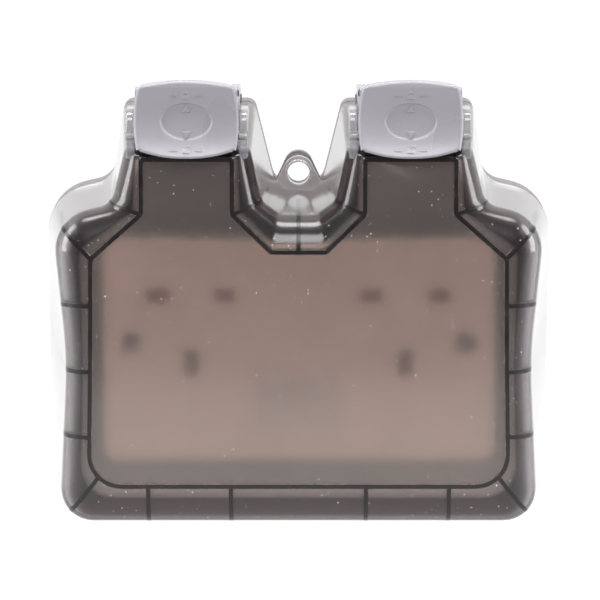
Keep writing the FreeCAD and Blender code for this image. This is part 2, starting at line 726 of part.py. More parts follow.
def make_box():
    """The back box: full-outline flange, deeper body, pillars, barrels, catches and entries."""
    wall, flange, depth = size("wall"), size("flange_depth"), size("box_depth")
    outer = prism(rim_corners(), 0, flange).fuse(prism(body_corners(0), flange - wall, depth))
    tray = prism(inset(raised_foot(rim_corners()), wall), -1, flange - wall)
    inside = prism(body_corners(wall), flange - wall - 1, depth - wall)
    core = slab((-FAR, FAR), (-1, flange - wall), (wall, size("seal_line") + wall))
    inside = inside.cut(core)
    shell = outer.cut(tray).cut(inside)
    groove = slab((-FAR, FAR), (-5, size("groove_half")), (-5, size("seal_line")))
    shell = shell.cut(groove)
    shell = shell.fuse(box_pillars())
    shell = shell.fuse(padlock_tab(size("tab_top") + size("tab_step"), 0.0, size("tab_thick")))
    _core, ears = hinge_spans()
    bore = size("pin_r") + size("press_play")
    for sign in (-1, 1):
        for low, high in ears:
            centre = sign * size("hinge_x")
            shell = shell.fuse(barrel_with_web((centre + low, centre + high), 1, bore))
    shell = shell.fuse(catch_bumps())
    shell = shell.cut(box_cuts())
    shell = shell.cut(gasket_ring(0.0, size("gasket_depth")))
    return piece("back_box", shaped("back_box", shell.removeSplitter()))


def box_pillars():
    """The two pillars that take the plate's screws."""
    found = []
    length = size("box_depth") - size("plate_back") - 0.5
    for sign in (-1, 1):
        at = FreeCAD.Vector(sign * size("fixing_pitch") / 2, size("plate_back"), size("fixing_height"))
        found.append(Part.makeCylinder(size("pillar_r"), length, at, Y_AXIS))
    return found


def catch_bumps():
    """Four bumps on the necks' tops for the latch hooks; each leans so that its hook can rise."""
    front, back, rise = size("catch_front"), size("catch_back"), size("catch_rise")
    top, width = size("neck_height"), size("arm_width") + 1
    profile = [
        (front, top - 1), (front + 0.9, top + rise), (back - 0.6, top + rise), (back, top), (back, top - 1),
    ]
    points = [FreeCAD.Vector(0, y, z) for y, z in profile]
    face = Part.Face(Part.makePolygon(points + points[:1]))
    arm = size("ear_gap") / 2 - size("latch_side_play") - size("arm_width") / 2
    found = []
    for sign in (-1, 1):
        for way in (-1, 1):
            bump = face.extrude(FreeCAD.Vector(width, 0, 0))
            bump.translate(FreeCAD.Vector(sign * size("neck_half") + way * arm - width / 2, 0, 0))
            found.append(bump)
    return found


def box_cuts():
    """Flex slots, conduit entries, wall screw holes and insert bores."""
    depth, wall = size("box_depth"), size("wall")
    side = size("shell_half") - size("flange_step")
    insert_r = size("insert_r") + size("press_play")
    cuts = [flex_cut(sign, -5, size("seal_depth")) for sign in (-1, 1)]
    for sign in (-1, 1):
        start = FreeCAD.Vector(sign * side - 5, size("entry_y"), size("entry_z"))
        cuts.append(Part.makeCylinder(size("entry_r"), 10, start, X_AXIS))
        for height in (size("wall_hole_low"), size("wall_hole_high")):
            at = FreeCAD.Vector(sign * size("wall_hole_x"), depth - wall - 1, height)
            cuts.append(Part.makeCylinder(size("wall_hole_r"), wall + 2, at, Y_AXIS))
        at = FreeCAD.Vector(sign * size("fixing_pitch") / 2, size("plate_back") - 1, size("fixing_height"))
        cuts.append(Part.makeCylinder(insert_r, size("insert_length") + 1.5, at, Y_AXIS))
    return cuts


def gasket_ring(y_low, y_high):
    """A ring that follows the sealing line of the rim, broken where the flex seals stand."""
    path = raised_foot(rim_corners())
    start = size("gasket_inset")
    ring = prism(inset(path, start), y_low, y_high)
    ring = ring.cut(prism(inset(path, start + size("gasket_width")), y_low - 1, y_high + 1))
    return ring.cut([flex_cut(sign, y_low - 1, y_high + 1) for sign in (-1, 1)])


def make_gasket():
    """The rubber cord pressed into the box's rim."""
    ring = gasket_ring(-size("gasket_proud"), size("gasket_depth"))
    return piece("rim_gasket", shaped("rim_gasket", ring))


def make_flex_seals():
    """Rubber blocks that close round each flex, one half in the lid and one in the box."""
    halves = {
        "lid": ("0 - seal_depth + 0.05", "0 - parting_gap"),
        "box": ("0.1", "seal_depth - 0.05"),
    }
    height = ("neck_height - 4.5", "neck_height + 0.2")
    for side, sign in (("left", -1), ("right", 1)):
        x = f"{sign} * neck_half"
        for half, y_span in halves.items():
            name = f"flex_seal_{half}_{side}"
            body = block(name + "_block", around(x, "seal_half"), y_span, height)
            hole = rod(name + "_hole", "z", "flex_r", "10", x, "0", "neck_height - 7")
            piece(name, carve(name, body, [hole]))


# ---------------------------------------------------------------- pins

def make_pin(label, x, y, z, length):
    """A plain steel pin along X, with its middle at x."""
    body = new_body(label)
    sketch = new_sketch(body, label + "_circle", "YZ_Plane")
    circle(sketch, y, z, "pin_r")
    pad(body, sketch, length, middle=True)
    body.setExpression("Placement.Base.x", formula(x))
    return piece(label, body)


def make_pins():
    """Two hinge pins and two latch pins."""
    hinge_length = "hinge_core + 2 * hinge_gap + 2 * hinge_ear"
    latch_length = "ear_gap + 2 * ear_wall"
    for side, sign in (("left", -1), ("right", 1)):
        make_pin(f"hinge_pin_{side}", f"{sign} * hinge_x", "0", "hinge_height", hinge_length)
        make_pin(f"latch_pin_{side}", f"{sign} * neck_half", "0 - pivot_depth", "pivot_height", latch_length)


# ---------------------------------------------------------------- latches

def make_latch(side, sign):
    """A rocking latch: scooped pad, roof, two cheeks, and an arm with a hook down each side."""
    name = f"latch_{side}"
    body = new_body(name)
    body.setExpression("Placement.Base.x", formula(f"{sign} * neck_half"))
    width = "ear_gap - 2 * latch_side_play"
    profile = new_sketch(body, name + "_profile", "YZ_Plane")
    latch_profile(profile)
    pad(body, profile, width, middle=True)
    plate = new_sketch(body, name + "_plate", "XZ_Plane", "pad_front")
    pad_outline(plate)
    pad(body, plate, "pad_front - pad_inner", backwards=True)
    latch_hollows(body, name, width)
    scoop = new_sketch(body, name + "_scoop", "YZ_Plane")
    middle = "(pad_top - pad_arch + pad_bottom) / 2"
    circle(scoop, "0 - pad_front - scoop_r + scoop_depth", middle, "scoop_r")
    pocket(body, scoop, "ear_gap + 4", middle=True)
    bore = new_sketch(body, name + "_bore", "YZ_Plane")
    circle(bore, "0 - pivot_depth", "pivot_height", "pin_r + running_fit")
    pocket(body, bore, "ear_gap + 4", middle=True)
    return piece(name, body)


def latch_profile(sketch):
    """A latch from the side, from its foot behind the pad round by the hook and the roof."""
    hook_front = "catch_back + hook_play"
    polygon(sketch, [
        ("0 - pad_inner", "pivot_height - 1.6"),
        ("0 - pivot_depth - 3.4", "pivot_height - 2.8"),
        ("0 - pivot_depth + 3.2", "pivot_height - 2.8"),
        ("0 - pivot_depth + 9", "pivot_height - 0.4"),
        ("-8", "arm_low"),
        (hook_front, "arm_low"),
        (hook_front, "neck_height + hook_play"),
        (f"{hook_front} + hook_thick", "neck_height + hook_play + 0.8"),
        (f"{hook_front} + hook_thick", "arm_high - 0.6"),
        ("-22", "arm_high"),
        ("0 - pad_inner + 1", "pad_top - pad_arch - 0.5"),
        ("0 - pad_inner - 0.6", "pad_top - pad_arch - 1.2"),
        ("0 - pad_inner - 0.6", "pivot_height - 1.6"),
    ])


def latch_hollows(body, name, width):
    """Hollows a latch between its arms, and more deeply between its cheeks."""
    roof = "pad_top - pad_arch - 1.2 - cheek"
    inside = new_sketch(body, name + "_inside", "YZ_Plane")
    polygon(inside, [
        ("0 - pad_inner", "pivot_height - 8"),
        ("12", "pivot_height - 8"),
        ("12", "arm_high + 3"),
        ("-30", "arm_high + 3"),
        ("-32", "arm_high - 1.0"),
        ("0 - pad_inner", roof),
    ])
    pocket(body, inside, f"{width} - 2 * arm_width", middle=True)
    cheeks = new_sketch(body, name + "_cheeks", "YZ_Plane")
    polygon(cheeks, [
        ("0 - pad_inner", "pivot_height - 8"),
        ("-34", "pivot_height - 8"),
        ("-34", "arm_high - 1.4"),
        ("0 - pad_inner", roof),
    ])
    pocket(body, cheeks, f"{width} - 2 * cheek", middle=True)


def pad_outline(sketch):
    """A latch pad seen from the front: arched top and bottom edges and sides that bow out."""
    right = [
        ("0.4 * pad_half", "pad_bottom"),
        ("pad_half - 1", "pad_bottom + 1.4"),
        ("pad_half", "pad_bottom + 2.6"),
        ("pad_half + pad_bulge", "(pad_top - pad_arch + pad_bottom) / 2"),
        ("pad_half", "pad_top - pad_arch - 0.9"),
    ]
    for share in (0.93, 0.6, 0.3):
        right.append((f"{share} * pad_half", f"pad_top - {share * share:.4f} * pad_arch"))
    left = [(f"0 - ({across})", height) for across, height in reversed(right)]
    polygon(sketch, right + [("0", "pad_top")] + left)


# ---------------------------------------------------------------- the socket plate

def outlet_centres():
    """Formulas for the x of the two outlets."""
    return [("left", "0 - outlet_pitch / 2"), ("right", "outlet_pitch / 2")]


def module_screw_places():
    """Formulas for the four screws that hold the socket base to the plate."""
    return [(f"{sign} * module_screw_x", z) for sign in (-1, 1) for z in ("base_low + 4", "base_high - 4")]


def aperture_spans(centre):
    """The x and z spans of one outlet's three apertures: earth, line and neutral."""
    found = [(around(centre, "slot_short / 2"), around("pin_line - pin_pitch", "earth_long / 2"))]
    for sign in (-1, 1):
        x_span = around(f"{centre} + {sign} * pin_pitch / 2", "slot_long / 2")
        found.append((x_span, around("pin_line", "slot_short / 2")))
    return found


def make_plate():
    """The white front plate: a shallow dish with apertures, rocker windows and screw holes."""
    body = new_body("socket_plate")
    outline = new_sketch(body, "plate_outline", "XZ_Plane", "plate_front")
    rectangle(outline, around("0", "plate_width / 2"), ("plate_low", "plate_high"))
    pad(body, outline, "plate_front + plate_back", backwards=True)
    fillet_edges(body, "plate_corner", lambda edge: runs_along(edge, Y_AXIS))
    front_y = -size("plate_front")
    fillet_edges(body, "plate_edge", lambda edge: abs(edge.BoundBox.YMax - front_y) < 1e-3)
    dish = new_sketch(body, "plate_dish", "XZ_Plane", "0 - plate_back")
    rectangle(dish, around("0", "plate_width / 2 - plate_wall"),
              ("plate_low + plate_wall", "plate_high - plate_wall"))
    pocket(body, dish, "plate_back + plate_front - plate_wall", backwards=True)
    plate_bosses(body)
    plate_openings(body)
    plate_holes(body)
    return piece("socket_plate", body)


def plate_bosses(body):
    """The bosses behind the plate for its own screws and for the base's screws."""
    bosses = new_sketch(body, "plate_bosses", "XZ_Plane", "0 - plate_back")
    for sign in (-1, 1):
        circle(bosses, f"{sign} * fixing_pitch / 2", "fixing_height", "pillar_r")
    pad(body, bosses, "plate_back + plate_front - 1")
    pegs = new_sketch(body, "plate_pegs", "XZ_Plane", "0 - base_front")
    for x, z in module_screw_places():
        circle(pegs, x, z, "module_screw_r + 1.6")
    pad(body, pegs, "base_front + plate_front - 1")


def plate_openings(body):
    """The pin apertures and the windows that the rockers stand in."""
    apertures = new_sketch(body, "plate_apertures", "XZ_Plane", "plate_front + 1")
    for _side, centre in outlet_centres():
        for x_span, z_span in aperture_spans(centre):
            rectangle(apertures, x_span, z_span)
    pocket(body, apertures, "plate_wall + 2")
    windows = new_sketch(body, "plate_windows", "XZ_Plane", "plate_front + 1")
    for sign in (-1, 1):
        rectangle(windows, around(f"{sign} * rocker_x", "rocker_width / 2 + rocker_play"),
                  ("rocker_low - rocker_play", "rocker_high + rocker_play"))
    pocket(body, windows, "plate_wall + 2")


def plate_holes(body):
    """The screw holes, their sinks, and the pilot holes in the pegs."""
    holes = new_sketch(body, "plate_fixings", "XZ_Plane", "plate_front + 1")
    sinks = new_sketch(body, "plate_sinks", "XZ_Plane", "plate_front + 1")
    for sign in (-1, 1):
        circle(holes, f"{sign} * fixing_pitch / 2", "fixing_height", "fixing_r + 0.2")
        circle(sinks, f"{sign} * fixing_pitch / 2", "fixing_height", "screw_head_r + 0.25")
    pocket(body, holes, "plate_front + plate_back + 2")
    pocket(body, sinks, "1 + 2.6")
    pilots = new_sketch(body, "plate_pilots", "XZ_Plane", "0 - base_front - 1")
    for x, z in module_screw_places():
        circle(pilots, x, z, "module_screw_r + press_play")
    pocket(body, pilots, "base_front + plate_front", backwards=True)


def make_plate_screws():
    """Two pan-head screws through the plate, and the brass inserts that they go into."""
    screws, inserts = [], []
    seat, z = "0.6 - plate_front", "fixing_height"
    length = "plate_back + insert_length + plate_front - 1.2"
    for number, sign in enumerate((-1, 1)):
        x = f"{sign} * fixing_pitch / 2"
        head = rod(f"fixing_head_{number}", "y", "screw_head_r", "2", x, seat, z)
        shank = rod(f"fixing_shank_{number}", "y", "fixing_r - 0.05", length, x, seat, z)
        slot = block(f"fixing_slot_{number}", around(x, "3"), ("0 - plate_front", "1.4 - plate_front"),
                     around(z, "0.5"))
        screws.append(carve(f"fixing_{number}", join(f"fixing_body_{number}", [head, shank]), [slot]))
        sleeve = rod(f"insert_sleeve_{number}", "y", "insert_r", "insert_length", x, "plate_back", z)
        bore = rod(f"insert_bore_{number}", "y", "fixing_r", "insert_length + 2", x, "plate_back - 1", z)
        inserts.append(carve(f"insert_{number}", sleeve, [bore]))
    piece("plate_screws", group("plate_screws", screws))
    piece("threaded_inserts", group("threaded_inserts", inserts))


ROCKER_PIVOT = "(rocker_low + rocker_high) / 2"


def make_rockers():
    """The two switch rockers, each with a bowed face and a trunnion on either side."""
    for side, sign in (("left", -1), ("right", 1)):
        name = f"rocker_{side}"
        body = new_body(name)
        body.setExpression("Placement.Base.x", formula(f"{sign} * rocker_x"))
        profile = new_sketch(body, name + "_profile", "YZ_Plane")
        polygon(profile, [
            ("0 - plate_front - 0.2", "rocker_low"),
            ("0 - plate_front - 0.1", f"{ROCKER_PIVOT} - 2"),
            ("0 - plate_front - rocker_rise", "rocker_high - 1.6"),
            ("0 - plate_front - rocker_rise + 0.6", "rocker_high - 0.9"),
            ("2.2", "rocker_high"),
            ("rocker_pivot + 2.4", f"{ROCKER_PIVOT} + 3"),
            ("rocker_pivot + 5", f"{ROCKER_PIVOT} + 1"),
            ("rocker_pivot + 5", f"{ROCKER_PIVOT} - 1"),
            ("rocker_pivot + 2.4", f"{ROCKER_PIVOT} - 3"),
            ("2.2", "rocker_low"),
        ])
        pad(body, profile, "rocker_width", middle=True)
        trunnions = new_sketch(body, name + "_trunnions", "YZ_Plane")
        circle(trunnions, "rocker_pivot", ROCKER_PIVOT, "trunnion_r")
        pad(body, trunnions, "rocker_width + 2 * trunnion_length", middle=True)
        piece(name, body)


def make_shutters():
    """Sprung shutters behind the line and neutral apertures, each with a ramp for the earth pin."""
    low, high = around("pin_line", "slot_short / 2 + 0.5")
    foot = "pin_line - pin_pitch - earth_long / 2 - 0.5"
    half, stem = "pin_pitch / 2 + slot_long / 2 + 0.6", "shutter_stem"
    right = [(stem, foot), (stem, low), (half, low), (half, high), ("3", high), ("3", f"{high} + 2")]
    left = [(f"0 - ({x})", z) for x, z in reversed(right)]
    for side, centre in outlet_centres():
        name = f"shutter_{side}"
        body = new_body(name)
        body.setExpression("Placement.Base.x", formula(centre))
        face = new_sketch(body, name + "_face", "XZ_Plane", "plate_front - plate_wall - shutter_gap")
        polygon(face, right + left)
        pad(body, face, "shutter_thick", backwards=True)
        window = new_sketch(body, name + "_window", "XZ_Plane", "plate_front - plate_wall")
        earth_low, earth_high = around("pin_line - pin_pitch", "earth_long / 2")
        rectangle(window, around("0", "slot_short / 2 + 0.2"), (f"{earth_low} + 3", f"{earth_high} + 0.3"))
        pocket(body, window, "shutter_thick + 2")
        piece(name, body)
        spring(side, centre, f"{high} + 2")


def spring(side, centre, low):
    """The strip spring above one shutter, folded to and fro."""
    name = f"shutter_spring_{side}"
    folds = int(size("spring_folds"))
    bottom = f"{low} + 0.2"
    rise = f"(base_high - 1.8 - spring_strip - ({bottom})) / {folds}"
    front = "plate_wall - plate_front + shutter_gap"
    depth = (f"{front} + 0.5", f"{front} + shutter_thick - 0.5")
    left, right = around(centre, "spring_half")
    strips = []
    for fold in range(folds + 1):
        level = f"{bottom} + {fold} * {rise}"
        strips.append(block(f"{name}_run_{fold}", (left, right), depth, (level, f"{level} + spring_strip")))
        if fold < folds:
            bend = (f"{right} - spring_strip", right) if fold % 2 else (left, f"{left} + spring_strip")
            height = (level, f"{level} + {rise} + spring_strip")
            strips.append(block(f"{name}_bend_{fold}", bend, depth, height))
    piece(name, join(name, strips))


# ---------------------------------------------------------------- the socket base and its brass

def clip_spans():
    """The six contact clips as (outlet, pole, x span, z span) of formulas."""
    found = []
    tall = "clip_gap / 2 + strap"
    for side, centre in outlet_centres():
        for pole, sign in (("live", -1), ("neutral", 1)):
            x_span = around(f"{centre} + {sign} * pin_pitch / 2", "clip_half")
            found.append((side, pole, x_span, around("pin_line", tall)))
        found.append((side, "earth", around(centre, tall), around("pin_line - pin_pitch", "clip_reach")))
    return found


def bar_spans():
    """The flat bars that join clips and terminals, as (owner, x span, z span) of formulas."""
    left, right = "0 - outlet_pitch / 2", "outlet_pitch / 2"
    earth = "pin_line - pin_pitch"
    found = [
        ("neutral_strap", (f"{left} + pin_pitch / 2 - clip_half", f"{right} + pin_pitch / 2 + clip_half"),
         ("pin_line + 4.4", "pin_line + 7.6")),
        ("earth_strap", (f"{left} - bar_half", f"{right} + bar_half"), (f"{earth} + 6", f"{earth} + 9.4")),
    ]
    for side, centre in outlet_centres():
        live = around(f"{centre} - pin_pitch / 2", "bar_half")
        inner = (live[0], "0 - live_bar_end") if side == "left" else ("live_bar_end", live[1])
        found += [
            ("neutral_strap", around(f"{centre} + pin_pitch / 2", "clip_half"),
             ("pin_line", "pin_line + 5")),
            ("earth_strap", around(centre, "bar_half"), (earth, f"{earth} + 7")),
            (f"live_contact_{side}", live, ("pin_line - 7.4", "pin_line")),
            (f"live_contact_{side}", inner, ("pin_line - 7.4", "pin_line - 4.4")),
        ]
    return found


def make_contacts():
    """Brass clips for the six pins, joined by flat bars into four pieces."""
    parts = {}
    for side, pole, x_span, z_span in clip_spans():
        owner = f"live_contact_{side}" if pole == "live" else f"{pole}_strap"
        tag = f"clip_{pole}_{side}"
        outer = block(tag + "_outer", x_span, ("clip_front", "clip_back"), z_span)
        margins = ("0 - strap", "1") if pole == "earth" else ("1", "0 - strap")
        gap_x, gap_z = (widened(span, f"({margin})") for span, margin in zip((x_span, z_span), margins))
        gap = block(tag + "_gap", gap_x, ("clip_front - 1", "clip_back - strap"), gap_z)
        parts.setdefault(owner, []).append(carve(tag, outer, [gap]))
    for number, (owner, x_span, z_span) in enumerate(bar_spans()):
        bar = block(f"bar_{number}", x_span, ("clip_back - strap", "clip_back"), z_span)
        parts[owner].append(bar)
    for owner, items in parts.items():
        piece(owner, join(owner, items))


def terminal_places():
    """The three terminal blocks: pole and x."""
    return [("live", "0 - terminal_pitch"), ("earth", "0"), ("neutral", "terminal_pitch")]


def make_terminals():
    """Brass terminal blocks at the back of the base, with their clamp screws."""
    half, z = "terminal_side / 2", "terminal_height"
    screws = []
    for pole, x in terminal_places():
        name = f"terminal_{pole}"
        body = block(name + "_block", around(x, half), ("clip_back - 6", "base_back - 0.2"), around(z, half))
        foot = f"{z} - {half} - 1"
        way = rod(name + "_wire_hole", "z", "2.2", "terminal_side + 2", x, "clip_back - 2.6", foot)
        thread = rod(name + "_thread", "y", "1.6", "8", x, "clip_back - 1", z)
        piece(name, carve(name, body, [way, thread]))
        length = "base_back - clip_back + 0.4"
        shank = rod(name + "_screw_shank", "y", "1.58", length, x, "clip_back - 0.2", z)
        head = rod(name + "_screw_head", "y", "2.4", "1.6", x, "base_back + 0.1", z)
        slot = block(name + "_screw_slot", around(x, "3"), ("base_back + 1", "base_back + 3"),
                     around(z, "driver_slot / 2"))
        screws.append(carve(name + "_screw", join(name + "_screw_body", [shank, head]), [slot]))
    piece("terminal_screws", group("terminal_screws", screws))


def make_base():
    """The moulded socket base with everything that stands on it and is sunk into it."""
    depth = ("base_front", "base_back")
    main = block("base_block", around("0", "base_half"), depth, ("base_low", "base_high"))
    solid = join("base_with_pedestals", [main, *base_pedestals()])
    wells = [*rocker_wells(), *contact_wells(), *pin_ways(), *terminal_wells(), *screw_wells()]
    piece("socket_base", carve("socket_base", solid, wells))


def base_pedestals():
    """What stands in front of the base: rocker pedestals, shutter guides and spring seats."""
    depth = ("plate_wall - plate_front + 0.3", "base_front + 1")
    inner, outer = around("rocker_x", "rocker_width / 2 + 0.3")
    spans = [
        (f"0 - ({inner})", inner),
        (outer, f"{outer} + 2.4"),
        (f"0 - ({outer}) - 2.4", f"0 - ({outer})"),
    ]
    found = []
    for number, span in enumerate(spans):
        found.append(block(f"pedestal_{number}", span, depth, around(ROCKER_PIVOT, "3")))
    for side, centre in outlet_centres():
        for sign in (-1, 1):
            guide = around(f"{centre} + {sign} * guide_x", "guide_half")
            height = ("pin_line - pin_pitch + 4", "pin_line - 6")
            found.append(block(f"guide_{side}_{sign + 1}", guide, depth, height))
        seat = ("base_high - 1.6", "base_high")
        found.append(block(f"spring_seat_{side}", around(centre, "3"), depth, seat))
    return found


def rocker_wells():
    """The wells that the rockers swing in, and the bore for their trunnions."""
    inner, outer = around("rocker_x", "rocker_width / 2 + 0.3")
    height = ("rocker_low - 1", "rocker_high + 1")
    found = []
    for number, span in enumerate([(inner, outer), (f"0 - ({outer})", f"0 - ({inner})")]):
        found.append(block(f"rocker_well_{number}", span, ("base_front - 1", "rocker_pivot + 9"), height))
    bore_r, end = "trunnion_r + running_fit", "20"
    found.append(rod("trunnion_bore", "x", bore_r, f"2 * {end}", f"0 - {end}", "rocker_pivot", ROCKER_PIVOT))
    return found


def contact_wells():
    """Pockets for the clips and channels for the bars, open at the back."""
    found = []
    for side, pole, x_span, z_span in clip_spans():
        wide, tall = widened(x_span, "pocket_play"), widened(z_span, "pocket_play")
        found.append(block(f"pocket_{pole}_{side}", wide, ("clip_front - 0.6", "base_back + 1"), tall))
    for number, (_owner, x_span, z_span) in enumerate(bar_spans()):
        wide, tall = widened(x_span, "pocket_play"), widened(z_span, "pocket_play")
        depth = ("clip_back - strap - pocket_play", "base_back + 1")
        found.append(block(f"channel_{number}", wide, depth, tall))
    return found


def pin_ways():
    """The ways from the shutters to the clips."""
    found = []
    for side, centre in outlet_centres():
        for number, (x_span, z_span) in enumerate(aperture_spans(centre)):
            found.append(block(f"way_{side}_{number}", x_span, ("base_front - 1", "clip_front"), z_span))
    return found


def terminal_wells():
    """The wells for the terminals and the ways for the wires from below."""
    half = "terminal_side / 2 + 0.1"
    found = []
    for pole, x in terminal_places():
        depth = ("clip_back - 6.1", "base_back + 1")
        found.append(block(f"terminal_well_{pole}", around(x, half), depth, around("terminal_height", half)))
        found.append(rod(f"wire_way_{pole}", "z", "2.4", "10", x, "clip_back - 2.6", "base_low - 2"))
    return found


def screw_wells():
    """The notches round the box's pillars and the sunk ways of the module screws."""
    depth = ("base_front - 1", "base_back + 1")
    reach = "fixing_pitch / 2 - pillar_r - 8.7"
    height = around("fixing_height", "pillar_r + 0.6")
    found = [
        block("pillar_notch_right", (reach, "base_half + 1.5"), depth, height),
        block("pillar_notch_left", ("0 - base_half - 1.5", f"0 - ({reach})"), depth, height),
    ]
    for number, (x, z) in enumerate(module_screw_places()):
        found.append(rod(f"screw_way_{number}", "y", "module_screw_r + 0.15", "40", x, "base_front - 1", z))
        sink_r = "module_head_r + 0.3"
        found.append(rod(f"screw_sink_{number}", "y", sink_r, "20", x, "base_back - module_sink", z))
    return found


def make_cover():
    """The flat cover that keeps the contacts in the base."""
    depth = ("base_back + 0.02", "base_back + cover_thick")
    plate = block("cover_block", around("0", "base_half - 8"), depth, ("base_low", "base_high"))
    places = [(x, "terminal_height") for _pole, x in terminal_places()]
    places += module_screw_places()
    holes = []
    for number, (x, z) in enumerate(places):
        holes.append(rod(f"cover_hole_{number}", "y", "3.2", "8", x, "base_back - 1", z))
    piece("base_cover", carve("base_cover", plate, holes))


def make_module_screws():
    """Four screws from the back that hold the socket base to the plate."""
    screws = []
    for number, (x, z) in enumerate(module_screw_places()):
        length = "base_back - module_sink + 0.5"
        shank = rod(f"module_shank_{number}", "y", "module_screw_r", length, x, "-0.5", z)
        head = rod(f"module_head_{number}", "y", "module_head_r", "2", x, "base_back - module_sink", z)
        depth = ("base_back - module_sink + 1.2", "base_back - module_sink + 3")
        slot = block(f"module_slot_{number}", around(x, "3"), depth, around(z, "driver_slot / 2"))
        screws.append(carve(f"module_screw_{number}", join(f"module_body_{number}", [shank, head]), [slot]))
    piece("module_screws", group("module_screws", screws))


def make_entry_plug():
    """The blanking plug in the left conduit entry."""
    inner = "0 - (shell_half - flange_step - wall)"
    y, z = "entry_y", "entry_z"
    shaft = rod("plug_shaft", "x", "entry_r - press_play", "wall + 2.4", f"{inner} - wall - 0.9", y, z)
    head = rod("plug_head", "x", "entry_r + plug_head_step", "1.5", f"{inner} - wall - 1.5", y, z)
    lip = rod("plug_lip", "x", "entry_r + plug_lip_step", "1.2", f"{inner} + 0.02", y, z)
    well = rod("plug_well", "x", "entry_r - 2", "wall + 4", f"{inner} - wall + 0.5", y, z)
    piece("entry_plug", carve("entry_plug", join("plug_solid", [shaft, head, lip]), [well]))


def check_model():
    """Stops unless every object is sound and every sub-part has a valid shape."""
    doc.recompute()
    for item in doc.Objects:
        bad = {"Invalid", "Error"} & set(item.State)
        if bad:
            raise RuntimeError(f"{item.Name} is {bad}")
    for item in PIECES:
        if item.Shape.isNull() or not item.Shape.isValid():
            raise RuntimeError(f"{item.Label} has no valid shape")


def write_parts():
    """Writes each sub-part to parts/LABEL.step."""
    os.makedirs("parts", exist_ok=True)
    for item in PIECES:
        item.Shape.exportStep(f"parts/{item.Label}.step")
        box = item.Shape.BoundBox
        spans = ((box.XMin, box.XMax), (box.YMin, box.YMax), (box.ZMin, box.ZMax))
        reach = ", ".join(f"{low:.1f} {high:.1f}" for low, high in spans)
        print(f"{item.Label}: {item.Shape.Volume:.0f} mm3, {len(item.Shape.Solids)} solids, {reach}")


make_lid()
make_box()
make_gasket()
make_flex_seals()
make_pins()
for which, where in (("left", -1), ("right", 1)):
    make_latch(which, where)
make_plate()
make_plate_screws()
make_rockers()
make_shutters()
make_contacts()
make_terminals()
make_base()
make_cover()
make_module_screws()
make_entry_plug()
check_model()
write_parts()
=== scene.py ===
import json
import logging
import math
from dataclasses import dataclass, field
from enum import Enum
from typing import Any, Callable, Iterable, Sequence

import bmesh
import bpy
import numpy as np
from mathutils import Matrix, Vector


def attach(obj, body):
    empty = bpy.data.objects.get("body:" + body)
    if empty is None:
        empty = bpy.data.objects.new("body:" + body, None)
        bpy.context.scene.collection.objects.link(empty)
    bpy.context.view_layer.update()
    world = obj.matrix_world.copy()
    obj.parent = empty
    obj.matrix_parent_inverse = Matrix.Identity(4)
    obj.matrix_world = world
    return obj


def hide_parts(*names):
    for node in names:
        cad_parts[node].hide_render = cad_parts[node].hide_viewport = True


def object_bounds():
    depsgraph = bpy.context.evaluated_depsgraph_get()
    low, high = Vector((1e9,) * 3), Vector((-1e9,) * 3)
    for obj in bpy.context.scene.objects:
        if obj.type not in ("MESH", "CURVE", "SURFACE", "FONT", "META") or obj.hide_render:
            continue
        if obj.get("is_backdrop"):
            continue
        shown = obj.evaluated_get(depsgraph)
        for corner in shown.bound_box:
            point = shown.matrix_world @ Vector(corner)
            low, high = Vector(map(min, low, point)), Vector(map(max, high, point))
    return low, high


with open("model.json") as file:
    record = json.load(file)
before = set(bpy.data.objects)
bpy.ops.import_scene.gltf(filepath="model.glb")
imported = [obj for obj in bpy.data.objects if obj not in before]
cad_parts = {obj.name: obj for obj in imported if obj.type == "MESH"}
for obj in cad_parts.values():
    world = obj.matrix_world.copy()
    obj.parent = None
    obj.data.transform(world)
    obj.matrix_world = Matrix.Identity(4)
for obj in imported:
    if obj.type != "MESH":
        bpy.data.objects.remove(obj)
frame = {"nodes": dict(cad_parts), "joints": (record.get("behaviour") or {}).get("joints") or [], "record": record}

LOG = logging.getLogger("outdoor_socket")
MM = 0.001
CAD_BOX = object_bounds()
JOINTS = {joint["name"]: joint for joint in frame["joints"]}
PARTING_Y = JOINTS["lid_hinge"]["pos_m"][1]

PLASTIC_IOR = 1.5
SAME_POINT = 1e-7
NEAR = 1e-9
MELT = 1e-6
SOFTENED_FROM = math.radians(40.0)
WHITE = (1.0, 1.0, 1.0)
SOFT_RANGE = (0.3, 0.7)
MATT = 0.9
SHARP = math.radians(28.0)

Rgb = tuple[float, float, float]
Point2 = tuple[float, float]
Finder = Callable[[np.ndarray], np.ndarray]


# ------------------------------------------------------------------ shader expressions


